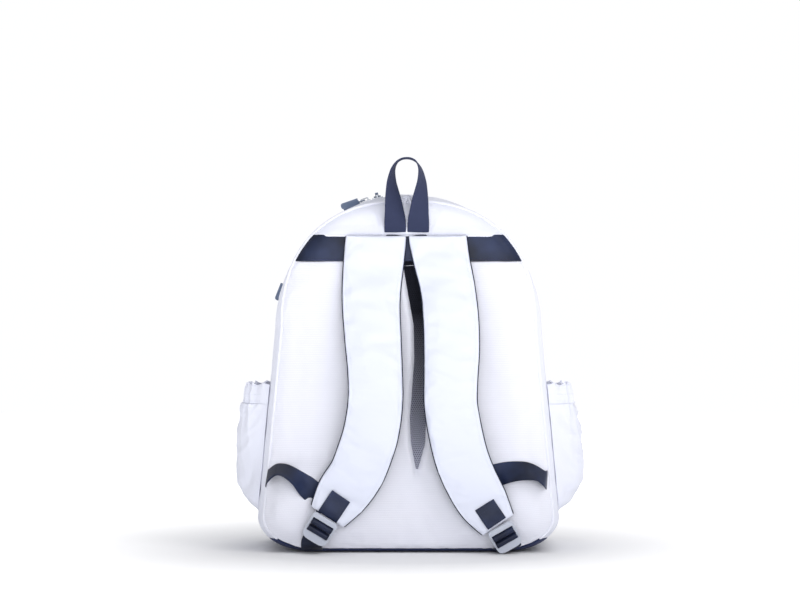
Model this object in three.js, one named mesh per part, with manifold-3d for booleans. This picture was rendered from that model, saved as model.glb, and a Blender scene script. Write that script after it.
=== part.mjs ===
// A racket backpack with an arched body: a padded back with two shoulder straps, a main compartment,
// a racket compartment whose front panel zips open, two side pockets and a grab handle.
// Millimetres, +Z up. The origin is on the ground under the middle of the base.
// The wearer's back faces -Y and the racket compartment faces +Y.
import * as THREE from "three";
import { mergeVertices } from "three/addons/utils/BufferGeometryUtils.js";
import Module from "manifold-3d";

const wasm = await Module();
wasm.setup();

// ---------------------------------------------------------------- driving dimensions
const GAP = 0.3; // clearance between neighbouring pieces

// Body
const ARCH_RADIUS = 150; // the arch of the top, which is also the half width where the sides begin
const SPRING_HEIGHT = 252; // height of the arch's centre
const FOOT_HALF_WIDTH = 170; // half width just above the bottom corners
const CORNER_WIDTH = 60; // the bottom corners are quarter ellipses
const CORNER_HEIGHT = 40;
const WALL = 3; // gusset fabric with its lining
const BACK_SEAM_Y = -84; // plane of the seam round the back panel
const MAIN_DEPTH = 110; // back seam to divider
const RACKET_DEPTH = 54; // divider to the rim of the racket compartment
const SEAM_ROUND = 20; // the sides draw in over this depth towards the back seam
const SEAM_NARROWING = 8;
const SEAM_SQUARENESS = 0.35;
const BASE_LIFT = 4; // the base rises this much at the back seam
const BASE_PANEL_HEIGHT = 15;
const BASE_BOARD_THICKNESS = 2.5;
const BASE_BOARD_HALF_WIDTH = 104;
const DIVIDER_THICKNESS = 2.4;

// Padded back panel
const BACK_CROWN = [[2.1, 0], [4, 3], [10, 6.2], [26, 8]]; // inset from the seam, height above it
const COVER_THICKNESS = 2;
const LINING_THICKNESS = 1.5;
const PIPING_RADIUS = 1.75;
const YOKE_DROP = 38; // top of the back seam to the yoke seam
const YOKE_BAND_HEIGHT = 29.4;
const YOKE_BAND_PROUD = 1;
const SPINE_FOOT_HEIGHT = 94; // lower tip of the ventilation channel
const SPINE_RECESS = 4;
const SPINE_MESH_THICKNESS = 1.2;
// Edges of the channel: [share of the way down, x]
const SPINE_LEFT = [[0, -6.6], [0.147, -0.9], [0.307, 5.7], [0.47, 6.6], [0.754, 1.7], [0.875, 2.8], [0.957, 6.2]];
const SPINE_RIGHT = [[0, 24], [0.3, 19], [0.754, 19.5], [0.875, 18.5], [0.957, 12.9]];

// Zips
const MAIN_ZIP_FROM_SEAM = 62; // back seam to the middle of the main zip
const MAIN_ZIP_HALF = 14;
const MAIN_ZIP_FOOT_ABOVE_POCKET = 16;
const RACKET_ZIP_FROM_RIM = 11;
const RACKET_TAPE_REAR = 13;
const RACKET_TAPE_FRONT = 9;
const TAPE_THICKNESS = 1.2;
const COIL_THICKNESS = 2.4;
const COIL_WIDTH = 2.7; // one side's coil
const PORT_FROM = 127; // polar angles of the racket handle's port, in degrees
const PORT_TO = 153;
const PORT_DEPTH = 33;
const PORT_FROM_DIVIDER = 4; // least gusset behind the port's binding
const BINDING = 3;

// Racket compartment's front panel
const HINGE_HEIGHT = 55;
const FRONT_CROWN = [[3, 0], [4.5, 2.4], [12, 5.2], [26, 6.4]];
const FRONT_PIPING_RADIUS = 1.5;

// Side pockets: [height, how far the pocket stands out from the body]
const POCKET_LEFT = [[44, 2], [52, 12], [64, 22], [77, 27], [102, 30], [134, 32], [166, 30], [189, 28]];
const POCKET_RIGHT = [[44, 2], [52, 14], [64, 26], [77, 31], [102, 34], [134, 35], [166, 31.5], [189, 29]];
const POCKET_HEM_HEIGHT = 23;
const POCKET_WALL = 2.5;
const POCKET_MIDDLE_Y = -25;
const POCKET_HALF_LENGTH = 47;
const POCKET_SQUARENESS = 3;

// Shoulder straps: lining against the wearer's side of the foam, cover outside
const STRAP_LINING = 1.8;
const STRAP_FOAM = 5;
const STRAP_COVER = 2.4;
const STRAP_TOP_BELOW_SEAM = 2;
// [share of the way down, x, width, gap behind the strap]
const STRAP_LEFT = {
  endHeight: 43.4,
  tilt: 31, // of the buckle in the plane of the back, in degrees
  lean: 20, // of the buckle's lip towards the bag
  anchorX: -108,
  stations: [
    [0, -36, 67.5, 0.6], [0.09, -38.8, 67, 2.6], [0.226, -41.6, 64, 10], [0.37, -39.4, 62, 17],
    [0.477, -37.2, 60, 21], [0.585, -36.6, 60, 22], [0.692, -41, 61, 21], [0.771, -48.2, 61, 19],
    [0.85, -58.2, 60, 16.5], [0.925, -74.3, 58, 13.5], [1, -89.8, 44, 11],
  ],
};
const STRAP_RIGHT = {
  endHeight: 34,
  tilt: -29.6,
  lean: 28,
  anchorX: 106,
  stations: [
    [0, 32.2, 65, 0.6], [0.0875, 37.2, 62, 2.6], [0.184, 43.8, 60, 8], [0.288, 47.1, 61, 14],
    [0.392, 47.9, 61, 18.5], [0.496, 46.9, 59, 21.5], [0.5825, 46.8, 58.5, 22], [0.676, 51.6, 59, 20.5],
    [0.773, 59.3, 59, 18], [0.856, 70.4, 58, 15.5], [0.929, 83.7, 55, 13], [1, 99, 42, 11],
  ],
};

// Webbing and strap adjusters
const WEB_THICKNESS = 1.6;
const WEB_WIDTH = 24;
const TAB_LENGTH = 29;
const TAB_LOOP_START = 2; // the tab's loop leaves the strap this far below its end
const BUCKLE_RAIL = 2; // the side rails beside the slots
const SLOT_SIDE_CLEARANCE = 1;
const BUCKLE_THICKNESS = 3;
const CROSSBAR = 6; // the buckle's bars and slots, from the strap downwards
const SLOT_TOP = 2.6;
const TAB_BAR = 2.8;
const SLOT_MIDDLE = 6.2;
const LOWER_BAR = 2.8;
const SLOT_LOW = 2.6;
const LIP = 10;
const WEB_CLEARANCE = 0.35;
const ANCHOR_HEIGHT = 4.5;
const ANCHOR_TURN_ROOM = WEB_WIDTH / 80; // the webbing turns as it leaves the buckle

// Side loops: [x, height, stand of the middle off the back panel, twist, lean] from the side seam inwards.
// The twist turns the upper edge towards the bag and the lean turns it towards +X, both in degrees.
const LOOP_WIDTH = 25;
const LOOP_SEAM_INSET = 9;
const LOOP_LEFT = [
  [-156.6, 86.6, 8.5, 54, 7], [-149.2, 93.4, 12.6, 62, 5], [-142, 94.6, 13.6, 62, 6], [-134.1, 91.9, 13, 57, 20],
  [-122.8, 84.3, 11.5, 48, 40], [-114.4, 76.2, 8, 24, 40], [-106, 67.6, 4.4, 8, 42], [-98.6, 56.9, 2.2, 0, 45],
];
const LOOP_RIGHT = [
  [151.4, 84, 8.3, 49, 6], [142.9, 90, 11.4, 51, 0], [133.5, 92.5, 11.6, 43, 3], [122.4, 92.5, 9.5, 33, 7],
  [110.7, 90.9, 7.5, 22, 0], [100.5, 88.3, 4.7, 10, -13], [86.3, 84.7, 2.2, 0, -15],
];

// Grab handle: [height above the yoke seam, half spread, twist in degrees] up one leg
const HANDLE_X = -2;
const HANDLE_LEG = [
  [2.6, 12.8, 0], [13, 12.9, 5], [24, 13.6, 26], [41, 15.3, 45], [50, 16.2, 56], [59.5, 16.7, 67],
  [71.7, 15.3, 80], [79.8, 11.3, 88], [83.6, 5.9, 90], [84.6, 0, 90],
];

// Zip sliders
const SLIDER_LENGTH = 13;
const SLIDER_WIDTH = 9;
const SLIDER_LIFT = 0.6; // clearance over the coil
const SLIDER_PLATE = 1.8;
const BRIDGE_HALF = 4.8;
const BRIDGE_LEG = 1.6;
const BRIDGE_ROOM = 2.4; // height of the space under the bridge
const BRIDGE_TOP = 1;
const BRIDGE_WIDTH = 2;
const PULL_LENGTH = 28;
const PULL_EYE_WIDTH = 8;
const PULL_EYE_THICKNESS = 1.2;
const PULL_GRIP_THICKNESS = 3.6;
const PULL_GRIP_HEIGHT = 7; // the grip stands on edge
const PULL_GRIP_FOOT = 1.3; // over the tape
const PULL_END_BAR = 0.7; // half its width
const PULL_HOLE_HALF = 1.6;
const PULL_HOLE_END = 6.2;

// Smoothness of the curved outlines
const ARCH_STEPS = 24;
const CORNER_STEPS = 6;
const FAR = 500; // reaches past the object on every side

// ---------------------------------------------------------------- places worked out from them
const DIVIDER_Y = BACK_SEAM_Y + MAIN_DEPTH;
const PORT_ROOM = PORT_FROM_DIVIDER + BINDING + PORT_DEPTH + RACKET_ZIP_FROM_RIM + DIVIDER_THICKNESS;
const RIM_Y = DIVIDER_Y + Math.max(RACKET_DEPTH, PORT_ROOM); // deep enough for the port
const SEAM_TOP = SPRING_HEIGHT + ARCH_RADIUS - SEAM_NARROWING;
const YOKE_SEAM = SEAM_TOP - YOKE_DROP;
const YOKE_FOOT = YOKE_SEAM - YOKE_BAND_HEIGHT;
const BACK_FACE_Y = BACK_SEAM_Y - BACK_CROWN.at(-1)[1];
const SPINE_FLOOR_Y = BACK_FACE_Y + SPINE_RECESS;
const MAIN_ZIP_Y = BACK_SEAM_Y + MAIN_ZIP_FROM_SEAM;
const RACKET_ZIP_Y = RIM_Y - RACKET_ZIP_FROM_RIM;
const RACKET_SPLIT_Y = RACKET_ZIP_Y - RACKET_TAPE_REAR;
const FRONT_PANEL_Y = RIM_Y + FRONT_PIPING_RADIUS + GAP;
const PORT_REAR_Y = RACKET_ZIP_Y - PORT_DEPTH;
const POCKET_TOP = POCKET_LEFT.at(-1)[0];
const MAIN_ZIP_FOOT = POCKET_TOP + MAIN_ZIP_FOOT_ABOVE_POCKET;
const BUCKLE_SLOT_WIDTH = WEB_WIDTH + 2 * SLOT_SIDE_CLEARANCE;
const BUCKLE_WIDTH = BUCKLE_SLOT_WIDTH + 2 * BUCKLE_RAIL;
const STRAP_THICKNESS = STRAP_LINING + STRAP_FOAM + STRAP_COVER + 2 * GAP;
const BUCKLE_LENGTH = CROSSBAR + SLOT_TOP + TAB_BAR + SLOT_MIDDLE + LOWER_BAR + SLOT_LOW + LIP;

// ---------------------------------------------------------------- finishes
const FINISH = {
  shell: { color: 0xe9ecf8, roughness: 0.85 },
  ribMesh: { color: 0xe6e9f6, roughness: 0.95 },
  strapCover: { color: 0xe9edfa, roughness: 0.85 },
  lining: { color: 0x8e94ad, roughness: 0.9 },
  foam: { color: 0xd7dae6, roughness: 1 },
  spineMesh: { color: 0x1b2238, roughness: 0.95 },
  piping: { color: 0xf3f3fd, roughness: 0.8 },
  base: { color: 0x1f2a5a, roughness: 0.7 },
  board: { color: 0x55586a, roughness: 0.7 },
  webbing: { color: 0x27304f, roughness: 0.6 },
  handle: { color: 0x2a3250, roughness: 0.6 },
  strapLining: { color: 0x2a3150, roughness: 0.9 },
  zipTape: { color: 0xdfe3f1, roughness: 0.9 },
  buckle: { color: 0xc9d2dc, roughness: 0.45 },
  slider: { color: 0x8a8f99, roughness: 0.35, metalness: 0.9 },
  pull: { color: 0x7c88a0, roughness: 0.6 },
};

// ---------------------------------------------------------------- geometry helpers
const vec = (x, y, z) => new THREE.Vector3(x, y, z);
const radians = THREE.MathUtils.degToRad;

// Six times the signed volume under an indexed geometry; negative when it is inside out.
function signedVolume(geometry) {
  const index = geometry.index.array;
  const corner = (i) => new THREE.Vector3().fromBufferAttribute(geometry.attributes.position, index[i]);
  let sum = 0;
  for (let i = 0; i < index.length; i += 3) sum += corner(i).dot(corner(i + 1).cross(corner(i + 2)));
  return sum;
}

// Triangles that fill one loop of points, as indices in the loop's own order.
function fillLoop(loop) {
  const normal = vec(0, 0, 0);
  loop.forEach((p, i) => normal.add(p.clone().cross(loop[(i + 1) % loop.length])));
  normal.normalize();
  const along = loop[1].clone().sub(loop[0]).normalize();
  const across = normal.clone().cross(along);
  const flat = loop.map((p) => new THREE.Vector2(p.dot(along), p.dot(across)));
  return THREE.ShapeUtils.triangulateShape(flat, []);
}

// A closed solid skinned over loops that all have the same number of points.
function loft(loops) {
  const count = loops[0].length;
  const last = (loops.length - 1) * count;
  const points = loops.flat();
  const faces = [];
  for (let start = 0; start < last; start += count)
    for (let j = 0; j < count; j++) {
      const a = start + j;
      const b = start + ((j + 1) % count);
      const [c, d] = [b + count, a + count];
      // Each quad is split along its shorter diagonal, so that layers that lie together stay clear.
      if (points[a].distanceTo(points[c]) <= points[b].distanceTo(points[d])) faces.push(a, b, c, a, c, d);
      else faces.push(a, b, d, b, c, d);
    }
  for (const [a, b, c] of fillLoop(loops[0])) faces.push(c, b, a);
  for (const [a, b, c] of fillLoop(loops.at(-1))) faces.push(last + a, last + b, last + c);
  const geometry = new THREE.BufferGeometry().setFromPoints(points);
  geometry.setIndex(faces);
  if (signedVolume(geometry) < 0) geometry.setIndex([...faces].reverse());
  return geometry;
}

function toSolid(geometry) {
  const bare = geometry.clone();
  bare.deleteAttribute("normal");
  bare.deleteAttribute("uv");
  const merged = mergeVertices(bare, 1e-3);
  const triVerts = new Uint32Array(merged.index.array);
  const vertProperties = merged.attributes.position.array;
  return new wasm.Manifold(new wasm.Mesh({ numProp: 3, vertProperties, triVerts }));
}

function toGeometry(solid) {
  const { vertProperties, triVerts } = solid.getMesh();
  const geometry = new THREE.BufferGeometry();
  geometry.setAttribute("position", new THREE.BufferAttribute(vertProperties, 3));
  return geometry.setIndex(new THREE.BufferAttribute(triVerts, 1));
}

// A box between two corners, each side open-ended (FAR) unless it is given.
function block({ x = [-FAR, FAR], y = [-FAR, FAR], z = [-FAR, FAR] }) {
  const box = new THREE.BoxGeometry(x[1] - x[0], y[1] - y[0], z[1] - z[0]);
  box.translate((x[0] + x[1]) / 2, (y[0] + y[1]) / 2, (z[0] + z[1]) / 2);
  return toSolid(box);
}

// A flat shape drawn in X and Z, given a depth from y0 to y1.
function plate(shape, y0, y1) {
  const geometry = new THREE.ExtrudeGeometry(shape, { depth: y1 - y0, bevelEnabled: false, curveSegments: 8 });
  return geometry.rotateX(Math.PI / 2).translate(0, y1, 0);
}

// A ribbon of rectangular section through stations { at, across, out, width }, between two
// distances from its middle surface along `out`.
function ribbon(stations, from, to) {
  return loft(
    stations.map(({ at, across, out, width }) =>
      [[-1, from], [1, from], [1, to], [-1, to]].map(([side, lift]) =>
        at.clone().addScaledVector(across, (side * width) / 2).addScaledVector(out, lift),
      ),
    ),
  );
}

// A round cord along points that lie in a plane of constant Y.
function pipingCord(points, radius) {
  const sides = 8;
  return loft(
    points.map((p, i) => {
      const along = points[Math.min(i + 1, points.length - 1)].clone().sub(points[Math.max(i - 1, 0)]);
      const out = along.normalize().cross(vec(0, 1, 0));
      return Array.from({ length: sides }, (_, k) => {
        const a = (2 * Math.PI * k) / sides;
        return p.clone().addScaledVector(out, radius * Math.cos(a)).add(vec(0, radius * Math.sin(a), 0));
      });
    }),
  );
}

// ---------------------------------------------------------------- the body's outline
// 1 at the back seam, falling to 0 where the sides are straight.
function seamTaper(y) {
  const t = THREE.MathUtils.clamp(1 - (y - BACK_SEAM_Y) / SEAM_ROUND, 0, 1);
  return t * t;
}

// The bag's cross-section at depth y, drawn inset inside the skin, as a loop placed at depth `at`.
function bagLoop(y, inset = 0, at = y) {
  const taper = seamTaper(y);
  const half = ARCH_RADIUS - SEAM_NARROWING * taper - inset;
  const foot = FOOT_HALF_WIDTH - SEAM_NARROWING * taper - inset;
  const low = BASE_LIFT * taper + inset;
  const power = 2 / (2 + SEAM_SQUARENESS * taper);
  const loop = [];
  const corner = (side, k) => {
    const a = (Math.PI / 2) * (k / CORNER_STEPS - 1);
    const x = foot - (CORNER_WIDTH - inset) * (1 - Math.cos(a));
    loop.push(vec(side * x, at, CORNER_HEIGHT + (CORNER_HEIGHT - low) * Math.sin(a)));
  };
  for (let k = 0; k <= CORNER_STEPS; k++) corner(1, k);
  for (let k = 0; k <= ARCH_STEPS; k++) {
    const a = (Math.PI * k) / ARCH_STEPS;
    const c = Math.cos(a);
    const x = half * Math.sign(c) * Math.abs(c) ** power;
    loop.push(vec(x, at, SPRING_HEIGHT + half * Math.abs(Math.sin(a)) ** power));
  }
  for (let k = CORNER_STEPS; k >= 0; k--) corner(-1, k);
  return loop;
}

// Half the body's width at a height between the bottom corner and the arch.
function halfWidthAt(z) {
  const t = THREE.MathUtils.clamp((z - CORNER_HEIGHT) / (SPRING_HEIGHT - CORNER_HEIGHT), 0, 1);
  return THREE.MathUtils.lerp(FOOT_HALF_WIDTH, ARCH_RADIUS, t);
}

function bagVolume(inset, y0, y1) {
  const turns = [5, 10, 15, SEAM_ROUND].map((d) => BACK_SEAM_Y + d).filter((y) => y > y0 + 1 && y < y1 - 1);
  return toSolid(loft([y0, ...turns, y1].map((y) => bagLoop(y, inset))));
}

// The body's wall from y0 to y1, between two depths under the skin.
function bagRing(y0, y1, outer = 0, inner = WALL) {
  return bagVolume(outer, y0, y1).subtract(bagVolume(inner, y0 - 1, y1 + 1));
}

// A padded crown standing on the bag's outline: direction -1 faces the wearer, +1 faces forward.
function crownVolume(seamY, outlineY, direction, profile, skin = 0, proud = 0) {
  const edge = profile[0][0];
  const loops = profile.map(([inset, height]) =>
    bagLoop(outlineY, Math.max(inset + skin, edge), seamY + direction * (height - skin + proud)),
  );
  const foot = bagLoop(outlineY, edge + skin, seamY - direction * (skin ? 1 : 0));
  return toSolid(loft(skin || proud ? [foot, ...loops] : loops));
}

// ---------------------------------------------------------------- back panel
const backCrown = (skin, proud) => crownVolume(BACK_SEAM_Y, BACK_SEAM_Y, -1, BACK_CROWN, skin, proud);

function backShell(proud = 0) {
  return backCrown(0, proud).subtract(backCrown(COVER_THICKNESS, 0));
}

// The ventilation channel's outline, grown by a margin.
function spineShape(margin = 0) {
  const length = YOKE_FOOT - SPINE_FOOT_HEIGHT;
  const height = (t) => YOKE_FOOT - t * length;
  const tip = new THREE.Vector2((SPINE_LEFT.at(-1)[1] + SPINE_RIGHT.at(-1)[1]) / 2, SPINE_FOOT_HEIGHT - margin);
  const left = SPINE_LEFT.map(([t, x]) => new THREE.Vector2(x - margin, height(t)));
  const right = SPINE_RIGHT.map(([t, x]) => new THREE.Vector2(x + margin, height(t)));
  const shape = new THREE.Shape().moveTo(left[0].x, left[0].y);
  shape.splineThru([...left.slice(1), tip]);
  shape.splineThru([...right.slice(1).reverse(), right[0]]);
  return new THREE.Shape(shape.getPoints(4));
}

function backCover() {
  const slot = toSolid(plate(spineShape(GAP), -FAR, 0));
  return backShell().intersect(block({ z: [-FAR, YOKE_FOOT - GAP] })).subtract(slot);
}

function spineMesh() {
  const y = SPINE_FLOOR_Y - GAP;
  return toSolid(plate(spineShape(), y - SPINE_MESH_THICKNESS, y)).intersect(block({ z: [-FAR, YOKE_FOOT - GAP] }));
}

function backFoam() {
  const skin = COVER_THICKNESS + GAP;
  const recess = toSolid(plate(spineShape(GAP), -FAR, SPINE_FLOOR_Y));
  return backCrown(skin, 0).intersect(block({ y: [-FAR, BACK_SEAM_Y] })).subtract(recess);
}

function backLining() {
  const y = BACK_SEAM_Y + GAP;
  const inset = WALL + GAP;
  return loft([bagLoop(BACK_SEAM_Y, inset, y), bagLoop(BACK_SEAM_Y, inset, y + LINING_THICKNESS)]);
}

const yokeBand = () => backShell(YOKE_BAND_PROUD).intersect(block({ z: [YOKE_FOOT, YOKE_SEAM] }));
const yokePanel = () => backShell().intersect(block({ z: [YOKE_SEAM + GAP, FAR] }));

// The part of an outline above a height, from the right over the arch to the left.
function outlineAbove(loop, height) {
  const above = loop.filter((p) => p.z > height);
  const meet = (low, high) => low.clone().lerp(high, (height - low.z) / (high.z - low.z));
  const first = loop.indexOf(above[0]);
  const last = loop.indexOf(above.at(-1));
  return [meet(loop[first - 1], loop[first]), ...above, meet(loop[last + 1], loop[last])];
}

const rearPiping = () => pipingCord(outlineAbove(bagLoop(BACK_SEAM_Y), BASE_PANEL_HEIGHT + GAP), PIPING_RADIUS);

// ---------------------------------------------------------------- main compartment
const GUSSET_REAR_Y = BACK_SEAM_Y + PIPING_RADIUS + GAP;

function mainGusset() {
  const slot = block({
    y: [MAIN_ZIP_Y - MAIN_ZIP_HALF, MAIN_ZIP_Y + MAIN_ZIP_HALF],
    z: [MAIN_ZIP_FOOT, FAR],
  });
  const ring = bagRing(GUSSET_REAR_Y, DIVIDER_Y + DIVIDER_THICKNESS);
  return ring.intersect(block({ z: [BASE_PANEL_HEIGHT + GAP, FAR] })).subtract(slot);
}

// One side of a zip: its tape from y0 to y1, with the coil along the edge at coilY.
function stringer(tapeFar, coilY, foot) {
  const middle = COIL_THICKNESS / 2;
  const coilEnd = coilY + Math.sign(tapeFar - coilY) * COIL_WIDTH;
  const span = (a, b) => [Math.min(a, b), Math.max(a, b)];
  const tape = bagRing(...span(tapeFar, coilY), middle - TAPE_THICKNESS / 2, middle + TAPE_THICKNESS / 2);
  const coil = bagRing(...span(coilY, coilEnd), 0, COIL_THICKNESS);
  return tape.add(coil).intersect(block({ z: [foot + GAP, FAR] }));
}

const mainStringer = (side) =>
  stringer(MAIN_ZIP_Y + side * (MAIN_ZIP_HALF - GAP), MAIN_ZIP_Y + (side * GAP) / 2, MAIN_ZIP_FOOT);

function divider() {
  return loft([bagLoop(0, WALL + GAP, DIVIDER_Y - GAP), bagLoop(0, WALL + GAP, DIVIDER_Y - GAP + DIVIDER_THICKNESS)]);
}

function baseBoard() {
  const front = DIVIDER_Y - 2 * GAP;
  const rear = BACK_SEAM_Y + SEAM_ROUND / 2;
  const board = new THREE.BoxGeometry(2 * BASE_BOARD_HALF_WIDTH, front - rear, BASE_BOARD_THICKNESS);
  return board.translate(0, (front + rear) / 2, WALL + BASE_LIFT / 2 + BASE_BOARD_THICKNESS / 2);
}

const basePanel = () => bagRing(GUSSET_REAR_Y, RIM_Y - GAP).intersect(block({ z: [-FAR, BASE_PANEL_HEIGHT] }));

// ---------------------------------------------------------------- racket compartment
// A sector of the arch's skin between two polar angles, thicker than the wall on both sides.
function archSector(from, to, y0, y1, inner = ARCH_RADIUS - 4 * WALL, outer = ARCH_RADIUS + 4 * WALL) {
  const shape = new THREE.Shape();
  shape.absarc(0, SPRING_HEIGHT, outer, radians(from), radians(to), false);
  shape.absarc(0, SPRING_HEIGHT, inner, radians(to), radians(from), true);
  shape.closePath();
  return toSolid(plate(shape, y0, y1));
}

const PORT_MARGIN = THREE.MathUtils.radToDeg(BINDING / ARCH_RADIUS);
const portCut = (extra) => {
  const margin = PORT_MARGIN * (1 + extra / BINDING);
  return archSector(PORT_FROM - margin, PORT_TO + margin, PORT_REAR_Y - BINDING - extra, RACKET_ZIP_Y + FAR);
};

function racketGusset() {
  const flapRoom = block({ y: [RACKET_SPLIT_Y, FAR], z: [HINGE_HEIGHT - 2 * GAP, FAR] });
  const ring = bagRing(DIVIDER_Y + DIVIDER_THICKNESS + GAP, RIM_Y - GAP);
  return ring.intersect(block({ z: [BASE_PANEL_HEIGHT + GAP, FAR] })).subtract(flapRoom).subtract(portCut(GAP));
}

function portBinding() {
  const margin = PORT_MARGIN;
  const front = RACKET_ZIP_Y - GAP;
  const frame = archSector(PORT_FROM - margin, PORT_TO + margin, PORT_REAR_Y - BINDING, front);
  const wall = bagRing(PORT_REAR_Y - 2 * BINDING, front, 0, WALL + 1);
  return frame.intersect(wall).subtract(archSector(PORT_FROM, PORT_TO, PORT_REAR_Y, FAR));
}

// The body's side of the racket zip, in two runs that end at the port.
function racketStringerRear(side) {
  const run = stringer(RACKET_SPLIT_Y + GAP, RACKET_ZIP_Y - GAP / 2, HINGE_HEIGHT);
  const parts = run.subtract(portCut(GAP)).decompose();
  return parts.find((part) => {
    const { min, max } = part.boundingBox();
    return (min[0] + max[0]) * side > 0;
  });
}

const racketStringerFront = () => stringer(RACKET_ZIP_Y + RACKET_TAPE_FRONT, RACKET_ZIP_Y + GAP / 2, HINGE_HEIGHT);

function frontLowerPanel() {
  const crown = crownVolume(FRONT_PANEL_Y, 0, 1, FRONT_CROWN).add(
    toSolid(loft([bagLoop(0, FRONT_CROWN[0][0], RIM_Y), bagLoop(0, FRONT_CROWN[0][0], FRONT_PANEL_Y + 0.1)])),
  );
  return crown.intersect(block({ z: [-FAR, HINGE_HEIGHT - 2 * GAP] }));
}

function racketPanel() {
  return crownVolume(FRONT_PANEL_Y, 0, 1, FRONT_CROWN).intersect(block({ z: [HINGE_HEIGHT, FAR] }));
}

function frontPiping() {
  const inset = FRONT_PIPING_RADIUS + GAP;
  return pipingCord(outlineAbove(bagLoop(0, inset, RIM_Y), HINGE_HEIGHT + GAP), FRONT_PIPING_RADIUS);
}

function racketPanelLining() {
  const inset = 2 * (FRONT_PIPING_RADIUS + GAP) + GAP;
  const front = FRONT_PANEL_Y - GAP;
  const sheet = toSolid(loft([bagLoop(0, inset, front - LINING_THICKNESS), bagLoop(0, inset, front)]));
  return sheet.intersect(block({ z: [HINGE_HEIGHT, FAR] }));
}

// ---------------------------------------------------------------- side pockets
// A horizontal section of the pocket: from inside the body out to a blunt curved side.
function pocketLoop(side, z, stand, inset) {
  const root = halfWidthAt(z) - CORNER_WIDTH / 2;
  const reach = Math.max(halfWidthAt(z) + stand - inset - root, 1);
  const steps = 14;
  const power = 2 / POCKET_SQUARENESS;
  const loop = [];
  for (let k = 0; k <= steps; k++) {
    const a = Math.PI * (k / steps - 0.5);
    const y = (POCKET_HALF_LENGTH - inset) * Math.sign(Math.sin(a)) * Math.abs(Math.sin(a)) ** power;
    loop.push(vec(side * (root + reach * Math.abs(Math.cos(a)) ** power), POCKET_MIDDLE_Y + y, z));
  }
  return loop;
}

function pocketWall(side, profile) {
  const top = profile.at(-1);
  const inner = profile.map(([z, stand]) => [z + POCKET_WALL, stand]).concat([[top[0] + FAR, top[1]]]);
  const outside = toSolid(loft(profile.map(([z, stand]) => pocketLoop(side, z, stand, 0))));
  const inside = toSolid(loft(inner.map(([z, stand]) => pocketLoop(side, z, stand, POCKET_WALL))));
  return outside.subtract(inside).subtract(bagVolume(-GAP, BACK_SEAM_Y - 1, RIM_Y));
}

function sidePocket(side, profile) {
  return pocketWall(side, profile).intersect(block({ z: [-FAR, profile.at(-1)[0] - POCKET_HEM_HEIGHT - GAP] }));
}

function pocketHem(side, profile) {
  return pocketWall(side, profile).intersect(block({ z: [profile.at(-1)[0] - POCKET_HEM_HEIGHT, FAR] }));
}

// ---------------------------------------------------------------- shoulder straps
const STRAP_TOP = YOKE_SEAM - STRAP_TOP_BELOW_SEAM;
const STRAP_BEHIND_Y = BACK_FACE_Y - YOKE_BAND_PROUD;

// The strap's run: each station's middle is on the face towards the bag.
function strapStations({ endHeight, stations }) {
  const points = stations.map(([t, x, , stand]) =>
    vec(x, STRAP_BEHIND_Y - stand, THREE.MathUtils.lerp(STRAP_TOP, endHeight, t)),
  );
  return points.map((at, i) => {
    const along = points[Math.min(i + 1, points.length - 1)].clone().sub(points[Math.max(i - 1, 0)]).normalize();
    if (i === 0) along.set(0, 0, -1);
    const across = along.clone().cross(vec(0, 1, 0)).normalize();
    const out = along.clone().cross(across).normalize();
    return { at, across, out, width: stations[i][2] };
  });
}

const strapLayer = (strap, from, thickness, narrower = 0) =>
  ribbon(
    strapStations(strap).map((s) => ({ ...s, width: s.width - narrower })),
    from,
    from + thickness,
  );
const strapLining = (strap) => strapLayer(strap, 0, STRAP_LINING);
const strapFoam = (strap) => strapLayer(strap, STRAP_LINING + GAP, STRAP_FOAM, 4);
const strapCover = (strap) => strapLayer(strap, STRAP_LINING + STRAP_FOAM + 2 * GAP, STRAP_COVER, 2);

// ---------------------------------------------------------------- strap adjusters
// Built in their own frame: u runs down from the strap's end, n stands out from its front face.
// In that frame u is -Z, n is -Y and the width lies along X.
const BUCKLE_BACK_N = 2.4;
const BUCKLE_FRONT_N = BUCKLE_BACK_N + BUCKLE_THICKNESS;
const BEHIND_N = BUCKLE_BACK_N - WEB_CLEARANCE - WEB_THICKNESS / 2;
const OVER_N = BUCKLE_FRONT_N + WEB_CLEARANCE + WEB_THICKNESS / 2;

// Webbing of full width along a path of [u, n] points on its middle line.
function foldedWeb(path, steps) {
  const curve = new THREE.CatmullRomCurve3(path.map(([u, n]) => vec(u, n, 0)), false, "centripetal");
  const edge = (side) =>
    Array.from({ length: steps + 1 }, (_, i) => {
      const p = curve.getPoint(i / steps);
      const t = curve.getTangent(i / steps);
      return new THREE.Vector2(p.x - (side * t.y * WEB_THICKNESS) / 2, p.y + (side * t.x * WEB_THICKNESS) / 2);
    });
  const shape = new THREE.Shape([...edge(1), ...edge(-1).reverse()]);
  const geometry = new THREE.ExtrudeGeometry(shape, { depth: WEB_WIDTH, bevelEnabled: false });
  geometry.applyMatrix4(new THREE.Matrix4().makeBasis(vec(0, 0, -1), vec(0, -1, 0), vec(-1, 0, 0)));
  return geometry.translate(WEB_WIDTH / 2, 0, 0);
}

// The tab of webbing sewn along the last of the strap's front face.
function strapTab(strap) {
  const run = strapStations(strap).reverse();
  const stations = [];
  let left = TAB_LENGTH;
  for (let i = 0; left > 0; i++) {
    const [here, next] = [run[i], run[i + 1]];
    const length = here.at.distanceTo(next.at);
    stations.push({ ...here, width: WEB_WIDTH });
    if (length >= left) {
      const t = left / length;
      const mix = (key) => here[key].clone().lerp(next[key], t);
      stations.push({ at: mix("at"), across: mix("across"), out: mix("out"), width: WEB_WIDTH });
    }
    left -= length;
  }
  return ribbon(stations, STRAP_THICKNESS + GAP, STRAP_THICKNESS + GAP + WEB_THICKNESS);
}

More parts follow.
